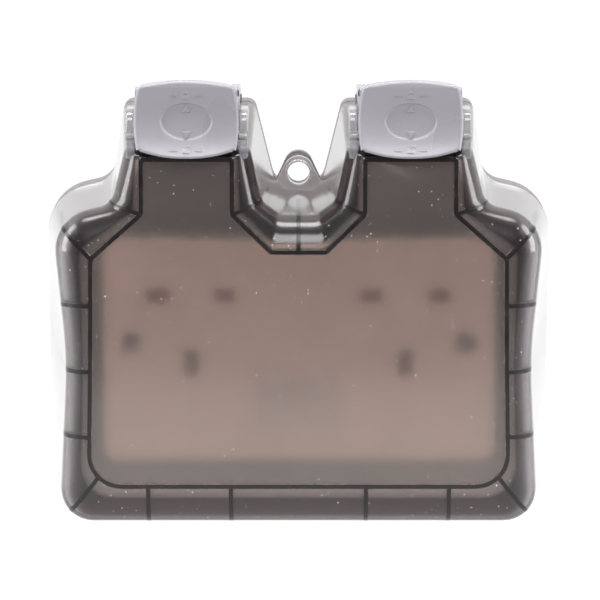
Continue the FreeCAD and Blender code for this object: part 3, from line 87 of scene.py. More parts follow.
class Signal:
    """A number that travels between shader nodes; arithmetic on it adds Math nodes."""

    def __init__(self, shading: "Shading", socket: bpy.types.NodeSocket) -> None:
        """Wraps one output socket of a material's node tree."""
        self.shading = shading
        self.socket = socket

    def _math(self, operation: str, first: Any, second: Any) -> "Signal":
        """Adds one Math node.

        Args:
            operation: the node's operation.
            first: its first value, a number or a signal.
            second: its second value, a number or a signal.

        Returns:
            The node's result.
        """
        return self.shading.signal("ShaderNodeMath", {"operation": operation}, {0: first, 1: second})

    def __add__(self, other: Any) -> "Signal":
        """Adds."""
        return self._math("ADD", self, other)

    __radd__ = __add__

    def __sub__(self, other: Any) -> "Signal":
        """Subtracts."""
        return self._math("SUBTRACT", self, other)

    def __rsub__(self, other: Any) -> "Signal":
        """Subtracts this from a number."""
        return self._math("SUBTRACT", other, self)

    def __mul__(self, other: Any) -> "Signal":
        """Multiplies."""
        return self._math("MULTIPLY", self, other)

    __rmul__ = __mul__

    def __gt__(self, other: Any) -> "Signal":
        """One where this is the larger, else nought."""
        return self._math("GREATER_THAN", self, other)

    def size(self) -> "Signal":
        """The value without its sign."""
        return self._math("ABSOLUTE", self, 0.0)

    def rise(self, low: float, high: float) -> "Signal":
        """A soft step that is nought at low and one at high."""
        ranges = {"From Min": low, "From Max": high, "To Min": 0.0, "To Max": 1.0}
        return self.shading.signal(
            "ShaderNodeMapRange", {"interpolation_type": "SMOOTHSTEP"}, {"Value": self, **ranges}
        )


class Shading:
    """One material and the nodes that make it."""

    def __init__(self, name: str) -> None:
        """Makes an empty material."""
        self.material = bpy.data.materials.new(name)
        self.material.use_nodes = True
        self.tree = self.material.node_tree
        self.tree.nodes.clear()
        self.place = self.node("ShaderNodeTexCoord").outputs["Object"]

    def node(
        self, kind: str, settings: dict[str, Any] | None = None, inputs: dict[Any, Any] | None = None
    ) -> bpy.types.Node:
        """Adds any node.

        Args:
            kind: the node's type.
            settings: its own properties, set first.
            inputs: a number, colour, socket or signal for each of its sockets.

        Returns:
            The node.
        """
        made = self.tree.nodes.new(kind)
        for name, value in (settings or {}).items():
            setattr(made, name, value)
        for name, value in (inputs or {}).items():
            self.feed(made.inputs[name], value)
        return made

    def feed(self, socket: bpy.types.NodeSocket, value: Any) -> None:
        """Links or sets one input socket.

        Args:
            socket: the input.
            value: a signal or socket to link, or a number or colour to set.
        """
        if isinstance(value, Signal):
            self.tree.links.new(value.socket, socket)
        elif isinstance(value, bpy.types.NodeSocket):
            self.tree.links.new(value, socket)
        elif isinstance(value, tuple) and socket.type == "RGBA":
            socket.default_value = (*value, 1.0)
        else:
            socket.default_value = value

    def signal(self, kind: str, settings: dict[str, Any], inputs: dict[Any, Any], output: Any = 0) -> Signal:
        """Adds a node and wraps one of its outputs.

        Args:
            kind: the node's type.
            settings: its own properties.
            inputs: the values of its sockets.
            output: the output's name or number.

        Returns:
            The output as a signal.
        """
        return Signal(self, self.node(kind, settings, inputs).outputs[output])

    def noise(self, scale: float, detail: float = 3.0, stretch: Rgb = (1.0, 1.0, 1.0)) -> Signal:
        """Soft noise from nought to one.

        Args:
            scale: features per metre.
            detail: octaves of finer noise.
            stretch: factors on x, y and z.

        Returns:
            The noise.
        """
        place = self.node(
            "ShaderNodeVectorMath", {"operation": "MULTIPLY"}, {0: self.place, 1: stretch}
        ).outputs[0]
        inputs = {"Vector": place, "Scale": scale, "Detail": detail}
        return self.signal("ShaderNodeTexNoise", {}, inputs, "Fac")

    def axes(self) -> tuple[Signal, Signal, Signal]:
        """The three coordinates of a point on the object, in metres."""
        split = self.node("ShaderNodeSeparateXYZ", {}, {0: self.place})
        return tuple(Signal(self, socket) for socket in split.outputs)

    def blend(self, factor: Any, first: Any, second: Any) -> bpy.types.NodeSocket:
        """Mixes two colours.

        Args:
            factor: nought for the first, one for the second.
            first: a colour or socket.
            second: a colour or socket.

        Returns:
            The mixed colour's socket.
        """
        mix = self.node("ShaderNodeMix", {"data_type": "RGBA"})
        self.feed(mix.inputs["Factor"], factor)
        self.feed(mix.inputs[6], first)
        self.feed(mix.inputs[7], second)
        return mix.outputs[2]

    def bump(self, height: Signal, depth: float) -> bpy.types.NodeSocket:
        """A normal bent by a height.

        Args:
            height: the height, from nought to one.
            depth: how deep a height of one is, in metres.

        Returns:
            The normal's socket.
        """
        inputs = {"Height": height, "Distance": depth, "Strength": 1.0}
        return self.node("ShaderNodeBump", {}, inputs).outputs["Normal"]

    def surface(self, **inputs: Any) -> bpy.types.NodeSocket:
        """A Principled shader; an underscore in a name stands for a space."""
        named = {name.replace("_", " "): value for name, value in inputs.items()}
        return self.node("ShaderNodeBsdfPrincipled", {}, named).outputs[0]

    def mixed(self, factor: Any, first: Any, second: Any) -> bpy.types.NodeSocket:
        """Mixes two shaders.

        Args:
            factor: nought for the first, one for the second.
            first: the first shader's socket.
            second: the second shader's socket.

        Returns:
            The mixed shader's socket.
        """
        return self.node("ShaderNodeMixShader", {}, {0: factor, 1: first, 2: second}).outputs[0]

    def finish(self, shader: bpy.types.NodeSocket) -> bpy.types.Material:
        """Joins a shader to the output and returns the material."""
        self.node("ShaderNodeOutputMaterial", {}, {"Surface": shader})
        return self.material


# ------------------------------------------------------------------ finishes


def deeper(colour: Rgb, share: float) -> Rgb:
    """A colour with each channel scaled."""
    return tuple(c * share for c in colour)


@dataclass(frozen=True)
class MouldedPlastic:
    """An opaque moulding with a fine skin, faint flow marks and handled patches."""

    name: str
    colour: Rgb
    roughness: float
    grain_depth: float = 0.00001
    grain_scale: float = 2600.0
    mottle: float = 0.10
    cloud_scale: float = 24.0
    streak_scale: float = 90.0
    streak_stretch: Rgb = (1.0, 0.25, 0.4)
    cloud_share: float = 0.6
    gloss_spread: float = 0.10
    dust: Rgb = (0.75, 0.74, 0.72)
    dust_scale: float = 1900.0
    dust_level: float = 0.79
    dust_share: float = 0.35
    dust_gloss: float = 0.2

    def build(self) -> bpy.types.Material:
        """The finished material."""
        shading = Shading(self.name)
        cloud = shading.noise(self.cloud_scale, 4.0)
        streaks = shading.noise(self.streak_scale, 2.0, self.streak_stretch)
        tone = (cloud * self.cloud_share + streaks * (1.0 - self.cloud_share)).rise(*SOFT_RANGE)
        dark = deeper(self.colour, 1.0 - self.mottle)
        light = tuple(min(1.0, c * (1.0 + self.mottle * 0.6)) for c in self.colour)
        specks = shading.noise(self.dust_scale, 1.0) > self.dust_level
        colour = shading.blend(specks * self.dust_share, shading.blend(tone, dark, light), self.dust)
        base = self.roughness - self.gloss_spread / 2
        gloss = tone * self.gloss_spread + base + specks * self.dust_gloss
        shader = shading.surface(
            Base_Color=colour,
            Roughness=gloss,
            Normal=shading.bump(shading.noise(self.grain_scale, 2.0), self.grain_depth),
            IOR=PLASTIC_IOR,
        )
        return shading.finish(shader)


@dataclass(frozen=True)
class SmokedPlastic:
    """Smoked polycarbonate, satin at the front, its tint set by place: pale on the walls that run back, as painted
    light, and dark on the rounded front band, as painted shade.
    """

    name: str
    # painted light: the tint of the walls that run back, made pale as if lit through and off them at a grazing
    # angle
    pale: Rgb
    # painted shade: the rounded front band's tint, made far darker than the panel's to stand in for the dark seen
    # through it
    band: Rgb
    panel: Rgb
    edge_at: float
    panel_at: float
    cloud_scale: float = 30.0
    clearness: float = 0.965
    fade_at_edge: Point2 = (-0.0012, 0.0010)
    fade_at_panel: Point2 = (-0.0005, -0.0001)
    # painted highlight: between these distances out from the middle, the band is turned part way back to the pale
    # tint
    flank: Point2 = (0.066, 0.075)
    flank_painted_highlight: float = 0.38
    gloss_clear: float = 0.11
    gloss_band: float = 0.09
    gloss_panel: float = -0.02
    gloss_spread: float = 0.02
    grain_scale: float = 5200.0
    grain_depth: float = 0.000006
    coat: float = 0.35
    coat_roughness: float = 0.12
    dust_dark: Rgb = (0.72, 0.70, 0.66)
    dust_light: Rgb = (0.90, 0.89, 0.87)
    dust_scale: float = 1500.0
    dust_level: float = 0.855
    dust_share: float = 0.7

    def build(self) -> bpy.types.Material:
        """The finished material."""
        shading = Shading(self.name)
        x, y, _z = shading.axes()
        depth = 0.0 - y
        flank = x.size().rise(*self.flank)
        in_band = depth.rise(*(self.edge_at + shift for shift in self.fade_at_edge))
        # painted highlight: towards the left and right flanks the band takes on some of the pale tint
        in_band = in_band * (1.0 - flank * self.flank_painted_highlight)
        in_panel = depth.rise(*(self.panel_at + shift for shift in self.fade_at_panel))
        cloud = shading.noise(self.cloud_scale, 3.0).rise(*SOFT_RANGE)
        # painted light on the walls that run back (pale) and painted shade on the front band (dark), one plastic
        # in two tints
        pale = shading.blend(cloud, deeper(self.pale, 0.96), self.pale)
        band = shading.blend(cloud, deeper(self.band, 0.90), self.band)
        panel = shading.blend(cloud, deeper(self.panel, 0.97), self.panel)
        # tint by depth: painted light on the walls, painted shade on the band, the plastic's own tint on the panel
        tint = shading.blend(in_panel, shading.blend(in_band, pale, band), panel)
        gloss = in_band * self.gloss_band + in_panel * self.gloss_panel
        gloss = gloss + cloud * self.gloss_spread + self.gloss_clear
        relief = shading.noise(self.grain_scale, 2.0) * in_band
        smoked = shading.surface(
            Base_Color=tint,
            Roughness=gloss,
            Normal=shading.bump(relief, self.grain_depth),
            Transmission_Weight=self.clearness,
            IOR=PLASTIC_IOR,
            Coat_Weight=self.coat,
            Coat_Roughness=self.coat_roughness,
        )
        dust_colour = shading.blend(cloud, self.dust_dark, self.dust_light)
        dust = shading.surface(Base_Color=dust_colour, Roughness=MATT)
        motes = shading.noise(self.dust_scale, 0.0) > self.dust_level
        dusty = shading.mixed(motes * self.dust_share, smoked, dust)
        pane = tuple(math.sqrt(c) for c in self.panel)
        passing = shading.node("ShaderNodeBsdfTransparent", {}, {"Color": pane}).outputs[0]
        shadow = shading.node("ShaderNodeLightPath").outputs["Is Shadow Ray"]
        return shading.finish(shading.mixed(shadow, dusty, passing))


@dataclass(frozen=True)
class ClearPlastic:
    """The lid's plastic where it is thin and stands clear of the box: the ears and the eye."""

    name: str
    tint: Rgb
    clearness: float = 0.75
    cloud_scale: float = 70.0
    roughness: float = 0.10
    gloss_spread: float = 0.06
    grain_scale: float = 900.0
    grain_depth: float = 0.000008
    coat: float = 0.5
    coat_roughness: float = 0.06

    def build(self) -> bpy.types.Material:
        """The finished material."""
        shading = Shading(self.name)
        cloud = shading.noise(self.cloud_scale, 3.0).rise(*SOFT_RANGE)
        shader = shading.surface(
            Base_Color=shading.blend(cloud, deeper(self.tint, 0.9), self.tint),
            Roughness=cloud * self.gloss_spread + self.roughness,
            Normal=shading.bump(shading.noise(self.grain_scale, 2.0), self.grain_depth),
            Transmission_Weight=self.clearness,
            IOR=PLASTIC_IOR,
            Coat_Weight=self.coat,
            Coat_Roughness=self.coat_roughness,
        )
        return shading.finish(shader)


@dataclass(frozen=True)
class RibPlastic:
    """The same smoked plastic where it stands edge-on in the ribs and shows dark."""

    name: str
    colour: Rgb
    cloud_scale: float = 140.0
    roughness: float = 0.18
    gloss_spread: float = 0.12
    grain_scale: float = 900.0
    grain_depth: float = 0.00001
    ior: float = 1.45

    def build(self) -> bpy.types.Material:
        """The finished material."""
        shading = Shading(self.name)
        depth = shading.noise(self.cloud_scale, 3.0).rise(*SOFT_RANGE)
        shader = shading.surface(
            Base_Color=shading.blend(depth, deeper(self.colour, 0.7), self.colour),
            Roughness=depth * self.gloss_spread + self.roughness,
            Normal=shading.bump(shading.noise(self.grain_scale, 2.0), self.grain_depth),
            IOR=self.ior,
        )
        return shading.finish(shader)


@dataclass(frozen=True)
class Rubber:
    """Matt moulded rubber with a dusty bloom."""

    name: str
    colour: Rgb
    bloom_scale: float = 160.0
    bloom_range: Point2 = (0.42, 0.75)
    bloom_share: float = 0.7
    bloom_lift: float = 0.06
    roughness: float = 0.62
    gloss_spread: float = 0.2
    grain_scale: float = 2200.0
    grain_depth: float = 0.00004

    def build(self) -> bpy.types.Material:
        """The finished material."""
        shading = Shading(self.name)
        bloom = shading.noise(self.bloom_scale, 5.0).rise(*self.bloom_range)
        pale = tuple(c + self.bloom_lift for c in self.colour)
        shader = shading.surface(
            Base_Color=shading.blend(bloom * self.bloom_share, self.colour, pale),
            Roughness=bloom * self.gloss_spread + self.roughness,
            Normal=shading.bump(shading.noise(self.grain_scale, 3.0), self.grain_depth),
            IOR=PLASTIC_IOR,
        )
        return shading.finish(shader)


@dataclass(frozen=True)
class Metal:
    """Turned or stamped metal: tool marks one way, and a patchy film where it is handled."""

    name: str
    colour: Rgb
    tarnish: Rgb
    roughness: float
    grain: Rgb = (0.1, 1.0, 1.0)
    film_scale: float = 220.0
    film_range: Point2 = (0.45, 0.78)
    film_share: float = 0.6
    film_dulling: float = 0.25
    film_gloss: float = 0.16
    mark_scale: float = 4200.0
    mark_gloss: float = 0.14
    mark_depth: float = 0.000008
    polish: float = 0.08

    def build(self) -> bpy.types.Material:
        """The finished material."""
        shading = Shading(self.name)
        film = shading.noise(self.film_scale, 5.0).rise(*self.film_range)
        marks = shading.noise(self.mark_scale, 2.0, self.grain)
        base = self.roughness - self.polish
        shader = shading.surface(
            Base_Color=shading.blend(film * self.film_share, self.colour, self.tarnish),
            Metallic=1.0 - film * self.film_dulling,
            Roughness=marks * self.mark_gloss + film * self.film_gloss + base,
            Normal=shading.bump(marks, self.mark_depth),
        )
        return shading.finish(shader)


class Finish(Enum):
    """The finishes of this object, by the name of the record's material slot."""

    SMOKED = "smoked_plastic"
    CLEAR = "smoked_plastic_clear"
    RIB = "smoked_plastic_rib"
    BOX = "box_plastic"
    LATCH = "latch_plastic"
    WHITE = "white_plastic"
    ROCKER = "rocker_plastic"
    SHUTTER = "shutter_plastic"
    DARK = "dark_plastic"
    RUBBER = "rubber"
    STEEL = "steel"
    BRASS = "brass"


@dataclass
class Paint:
    """Builds each finish once and puts it on pieces."""

    edge_front: float
    panel_front: float
    recipes: dict[Finish, Any] = field(default_factory=dict)
    made: dict[str, bpy.types.Material] = field(default_factory=dict)

    def __post_init__(self) -> None:
        """Lists the recipe of each finish."""
        self.recipes = {
            # the pale tint is painted light on the side walls, the band tint is painted shade on the front band
            Finish.SMOKED: SmokedPlastic(
                "smoked_polycarbonate", (0.64, 0.62, 0.645), (0.060, 0.040, 0.043),
                (0.97, 0.86, 0.78), self.edge_front, self.panel_front,
            ),
            Finish.CLEAR: ClearPlastic("smoked_thin_wall", (0.66, 0.66, 0.69)),
            Finish.RIB: RibPlastic("smoked_rib_edge", (0.012, 0.009, 0.009)),
            Finish.BOX: MouldedPlastic("box_grey_moulding", (0.14, 0.125, 0.128), 0.38, 0.00002),
            Finish.LATCH: MouldedPlastic(
                "latch_light_grey", (0.27, 0.258, 0.285), 0.30, 0.000004, mottle=0.04
            ),
            Finish.WHITE: MouldedPlastic(
                "plate_warm_white", (0.88, 0.80, 0.70), 0.28, 0.000004, mottle=0.04
            ),
            Finish.ROCKER: MouldedPlastic("rocker_white", (0.80, 0.77, 0.73), 0.24, 0.000003, mottle=0.05),
            Finish.SHUTTER: MouldedPlastic("shutter_red_brown", (0.30, 0.05, 0.03), 0.42, 0.00001),
            Finish.DARK: MouldedPlastic("base_dark_moulding", (0.035, 0.035, 0.038), 0.48, 0.00003),
            Finish.RUBBER: Rubber("seal_rubber", (0.020, 0.019, 0.018)),
            Finish.STEEL: Metal("zinc_plated_steel", (0.62, 0.61, 0.60), (0.36, 0.34, 0.31), 0.26),
            Finish.BRASS: Metal(
                "stamped_brass", (0.80, 0.58, 0.27), (0.42, 0.28, 0.13), 0.30, (1.0, 0.1, 1.0)
            ),
        }

    def material(self, finish: Finish) -> bpy.types.Material:
        """One finish's material, built the first time it is asked for."""
        if finish.value not in self.made:
            self.made[finish.value] = self.recipes[finish].build()
        return self.made[finish.value]

    def dress(self, piece: bpy.types.Object, finish: Finish) -> None:
        """Puts a finish on a piece in place of whatever it has.

        Args:
            piece: the object.
            finish: its finish.
        """
        piece.data.materials.clear()
        piece.data.materials.append(self.material(finish))


# ------------------------------------------------------------------ mesh tools


def place(x: float, y: float, z: float) -> Vector:
    """A point in the row frame from millimetres about the parting plane."""
    return Vector((x * MM, PARTING_Y + y * MM, z * MM))


@dataclass
class MeshMaker:
    """Collects points in millimetres and the faces between them, and makes one object."""

    name: str
    points: list[tuple[float, float, float]] = field(default_factory=list)
    faces: list[tuple[int, ...]] = field(default_factory=list)

    def add(self, points: Iterable[Sequence[float]]) -> list[int]:
        """Adds points.

        Args:
            points: (x, y, z) in millimetres, y from the parting plane.

        Returns:
            Their numbers.
        """
        first = len(self.points)
        self.points.extend(tuple(float(c) for c in point) for point in points)
        return list(range(first, len(self.points)))

    def skin(self, rows: Sequence[Sequence[int]], around: bool = True) -> None:
        """Quads between rows of point numbers.

        Args:
            rows: rows of equal length.
            around: whether each row closes on itself.
        """
        for lower, upper in zip(rows, rows[1:]):
            count = len(lower)
            for index in range(count if around else count - 1):
                after = (index + 1) % count
                self.faces.append((lower[index], lower[after], upper[after], upper[index]))

    def cap(self, row: Sequence[int], reverse: bool = False) -> None:
        """One face over a closed row."""
        self.faces.append(tuple(reversed(row)) if reverse else tuple(row))

    def prism(self, outline: Sequence[Sequence[float]], shift: Sequence[float]) -> None:
        """A closed outline pushed along a vector.

        Args:
            outline: the points round the outline.
            shift: how far and which way it is pushed.
        """
        near = self.add(outline)
        far = self.add([tuple(a + b for a, b in zip(point, shift)) for point in outline])
        self.skin([near, far])
        self.cap(near, reverse=True)
        self.cap(far)

    def build(self, bevel: float = 0.0, segments: int = 2, smooth: float = 35.0) -> bpy.types.Object:
        """Makes the object.

        Args:
            bevel: width of the rounding on sharp edges, in millimetres.
            segments: how many faces the rounding has.
            smooth: edges flatter than this angle, in degrees, are shaded smooth.

        Returns:
            The object, in the scene.
        """
        mesh = bpy.data.meshes.new(self.name)
        mesh.from_pydata([place(*point) for point in self.points], [], self.faces)
        work = bmesh.new()
        work.from_mesh(mesh)
        bmesh.ops.remove_doubles(work, verts=work.verts, dist=SAME_POINT)
        bmesh.ops.recalc_face_normals(work, faces=work.faces)
        if bevel:
            sharp = [e for e in work.edges if e.is_manifold and e.calc_face_angle(0.0) > SHARP]
            bmesh.ops.bevel(
                work,
                geom=sharp,
                offset=bevel * MM,
                segments=segments,
                profile=0.5,
                affect="EDGES",
                clamp_overlap=True,
            )
        work.to_mesh(mesh)
        work.free()
        made = bpy.data.objects.new(self.name, mesh)
        bpy.context.scene.collection.objects.link(made)
        soften(made, smooth)
        return made


def soften(piece: bpy.types.Object, angle: float) -> None:
    """Shades a piece smooth, apart from edges sharper than an angle in degrees."""
    piece.data.polygons.foreach_set("use_smooth", [True] * len(piece.data.polygons))
    piece.data.set_sharp_from_angle(angle=math.radians(angle))
    piece.data.update()


def cut_away(piece: bpy.types.Object, tools: Sequence[bpy.types.Object]) -> None:
    """Takes tools out of a piece and deletes them.

    Args:
        piece: the object that is cut.
        tools: closed meshes.
    """
    for tool in tools:
        cut = piece.modifiers.new("cut", "BOOLEAN")
        cut.object = tool
        cut.operation = "DIFFERENCE"
        cut.solver = "EXACT"
    bpy.context.view_layer.update()
    shaped = piece.evaluated_get(bpy.context.evaluated_depsgraph_get())
    mesh = bpy.data.meshes.new_from_object(shaped)
    piece.modifiers.clear()
    piece.data = mesh
    for tool in tools:
        bpy.data.objects.remove(tool)


def box_tool(x: Point2, y: Point2, z: Point2) -> bpy.types.Object:
    """A box between spans in millimetres, for cutting."""
    maker = MeshMaker("cutter")
    ring = [(x[0], y[0], z[0]), (x[1], y[0], z[0]), (x[1], y[0], z[1]), (x[0], y[0], z[1])]
    maker.prism(ring, (0.0, y[1] - y[0], 0.0))
    return maker.build()


# ------------------------------------------------------------------ the outline of the shells


@dataclass(frozen=True)
class Corner:
    """One corner of an outline, in millimetres."""

    x: float
    z: float
    radius: float

    def towards(self, other: "Corner", share: float) -> "Corner":
        """The corner part of the way to another."""
        return Corner(
            self.x + (other.x - self.x) * share,
            self.z + (other.z - self.z) * share,
            self.radius + (other.radius - self.radius) * share,
        )


@dataclass(frozen=True)
class Outline:
    """A rounded outline that is the same on both sides of the middle: its right half's corners."""

    corners: tuple[Corner, ...]
    arc_points: int = 9
    side_points: int = 5
    least_radius: float = 0.3

    def towards(self, other: "Outline", share: float) -> "Outline":
        """The outline part of the way to another."""
        return Outline(tuple(a.towards(b, share) for a, b in zip(self.corners, other.corners)))

    def loop(self) -> list[Corner]:
        """All the corners, from the right foot round to the left foot."""
        mirrored = [Corner(-c.x, c.z, c.radius) for c in reversed(self.corners)]
        return [*self.corners, *mirrored]

    def _turn(self, loop: list[Corner], index: int) -> tuple[np.ndarray, np.ndarray, float]:
        """The ways into and out of a corner, and how far the outline turns there.

        Args:
            loop: all the corners.
            index: which corner.

        Returns:
            Unit vector in, unit vector out, and the turn in radians.
        """
        here, before, after = loop[index], loop[index - 1], loop[(index + 1) % len(loop)]
        into = np.array([here.x - before.x, here.z - before.z])
        out = np.array([after.x - here.x, after.z - here.z])
        into, out = into / np.linalg.norm(into), out / np.linalg.norm(out)
        turn = math.atan2(into[0] * out[1] - into[1] * out[0], float(into @ out))
        return into, out, turn

    def inset(self, distance: float) -> "Outline":
        """The outline moved inwards.

        Args:
            distance: how far, in millimetres.

        Returns:
            The parallel outline.
        """
        loop = self.loop()
        moved = []
        for index, corner in enumerate(self.corners):
            into, out, turn = self._turn(loop, index)
            inward = np.array([-into[1] - out[1], into[0] + out[0]])
            inward *= distance / math.cos(turn / 2) / np.linalg.norm(inward)
            grown = corner.radius + (-distance if turn > 0 else distance)
            moved.append(Corner(corner.x + inward[0], corner.z + inward[1], max(self.least_radius, grown)))
        return Outline(tuple(moved))

    def points(self) -> np.ndarray:
        """The outline as a closed row of (x, z) points, the same number for every outline."""
        loop = self.loop()
        arcs = []
        for index, corner in enumerate(loop):
            into, out, turn = self._turn(loop, index)
            back = corner.radius * math.tan(abs(turn) / 2)
            side = np.array([-into[1], into[0]]) * math.copysign(1.0, turn)
            start = np.array([corner.x, corner.z]) - into * back
            centre = start + side * corner.radius
            row = []
            for step in range(self.arc_points):
                angle = abs(turn) * step / (self.arc_points - 1)
                across = side * corner.radius * math.cos(angle)
                row.append(centre - across + into * corner.radius * math.sin(angle))
            arcs.append(row)
        found = []
        for index, row in enumerate(arcs):
            following = arcs[(index + 1) % len(arcs)][0]
            found.extend(row)
            for step in range(1, self.side_points + 1):
                found.append(row[-1] + (following - row[-1]) * step / (self.side_points + 1))
        return np.array(found)

    def corner_number(self, index: int) -> int:
        """The number of the point in the middle of one corner's arc."""
        return index * (self.arc_points + self.side_points) + self.arc_points // 2


@dataclass(frozen=True)
class ShellForm:
    """The outlines that the lid is drawn through, and its depths, in millimetres."""

    rim: Outline = Outline((
        Corner(79.0, 0.0, 12.0), Corner(80.2, 52.6, 300.0), Corner(80.6, 98.1, 15.0),
        Corner(59.4, 103.0, 8.0), Corner(55.7, 127.9, 3.0), Corner(14.1, 127.9, 3.0),
        Corner(8.0, 103.4, 5.0), Corner(4.2, 100.1, 3.5),
    ))
    edge: Outline = Outline((
        Corner(74.9, 0.6, 10.0), Corner(72.3, 52.6, 140.0), Corner(76.6, 96.1, 13.0),
        Corner(58.0, 100.8, 6.0), Corner(53.6, 118.6, 2.0), Corner(14.9, 118.6, 2.0),
        Corner(11.4, 101.8, 4.0), Corner(5.7, 97.5, 4.0),
    ))
    panel: Outline = Outline((
        Corner(65.2, 13.1, 10.0), Corner(64.5, 52.6, 140.0), Corner(64.2, 84.6, 3.0),
        Corner(48.5, 98.5, 1.5), Corner(48.5, 115.5, 1.0), Corner(20.5, 115.5, 1.0),
        Corner(20.5, 98.5, 1.5), Corner(8.5, 86.7, 1.5),
    ))
    edge_depth: float = 45.0
    panel_depth: float = 54.0
    wall: float = 2.5
    gap: float = 0.4
    seal_line: float = 6.3
    groove: float = 3.6
    neck_x: float = 34.3
    neck_top: float = 127.9
    band_thinning: float = 0.3

    def side(self, depth: float, offset: float) -> Outline:
        """The outline of the side wall at a depth in front of the parting plane, moved inwards."""
        return self.rim.towards(self.edge, depth / self.edge_depth).inset(offset)

    def band(self, angle: float, offset: float) -> tuple[float, Outline]:
        """One section of the rounded band.

        Args:
            angle: 0 at the front edge, a quarter turn at the panel, in radians.
            offset: how far inwards the section lies, in millimetres.

        Returns:
            Its depth and its outline.
        """
        front = self.edge_depth - self.band_thinning * offset
        depth = front + (self.panel_depth - offset - front) * math.sin(angle)
        panel = self.panel.inset(self.band_thinning * offset)
        return depth, self.edge.inset(offset).towards(panel, 1 - math.cos(angle))


FORM = ShellForm()


def rows_of(outline: Outline, depth: float, floor: float | None = None) -> list[tuple[float, float, float]]:
    """An outline as points at a depth, with what is below a floor raised to it."""
    points = outline.points()
    if floor is not None:
        points[:, 1] = np.maximum(points[:, 1], floor)
    return [(x, -depth, z) for x, z in points]


# ------------------------------------------------------------------ the lid


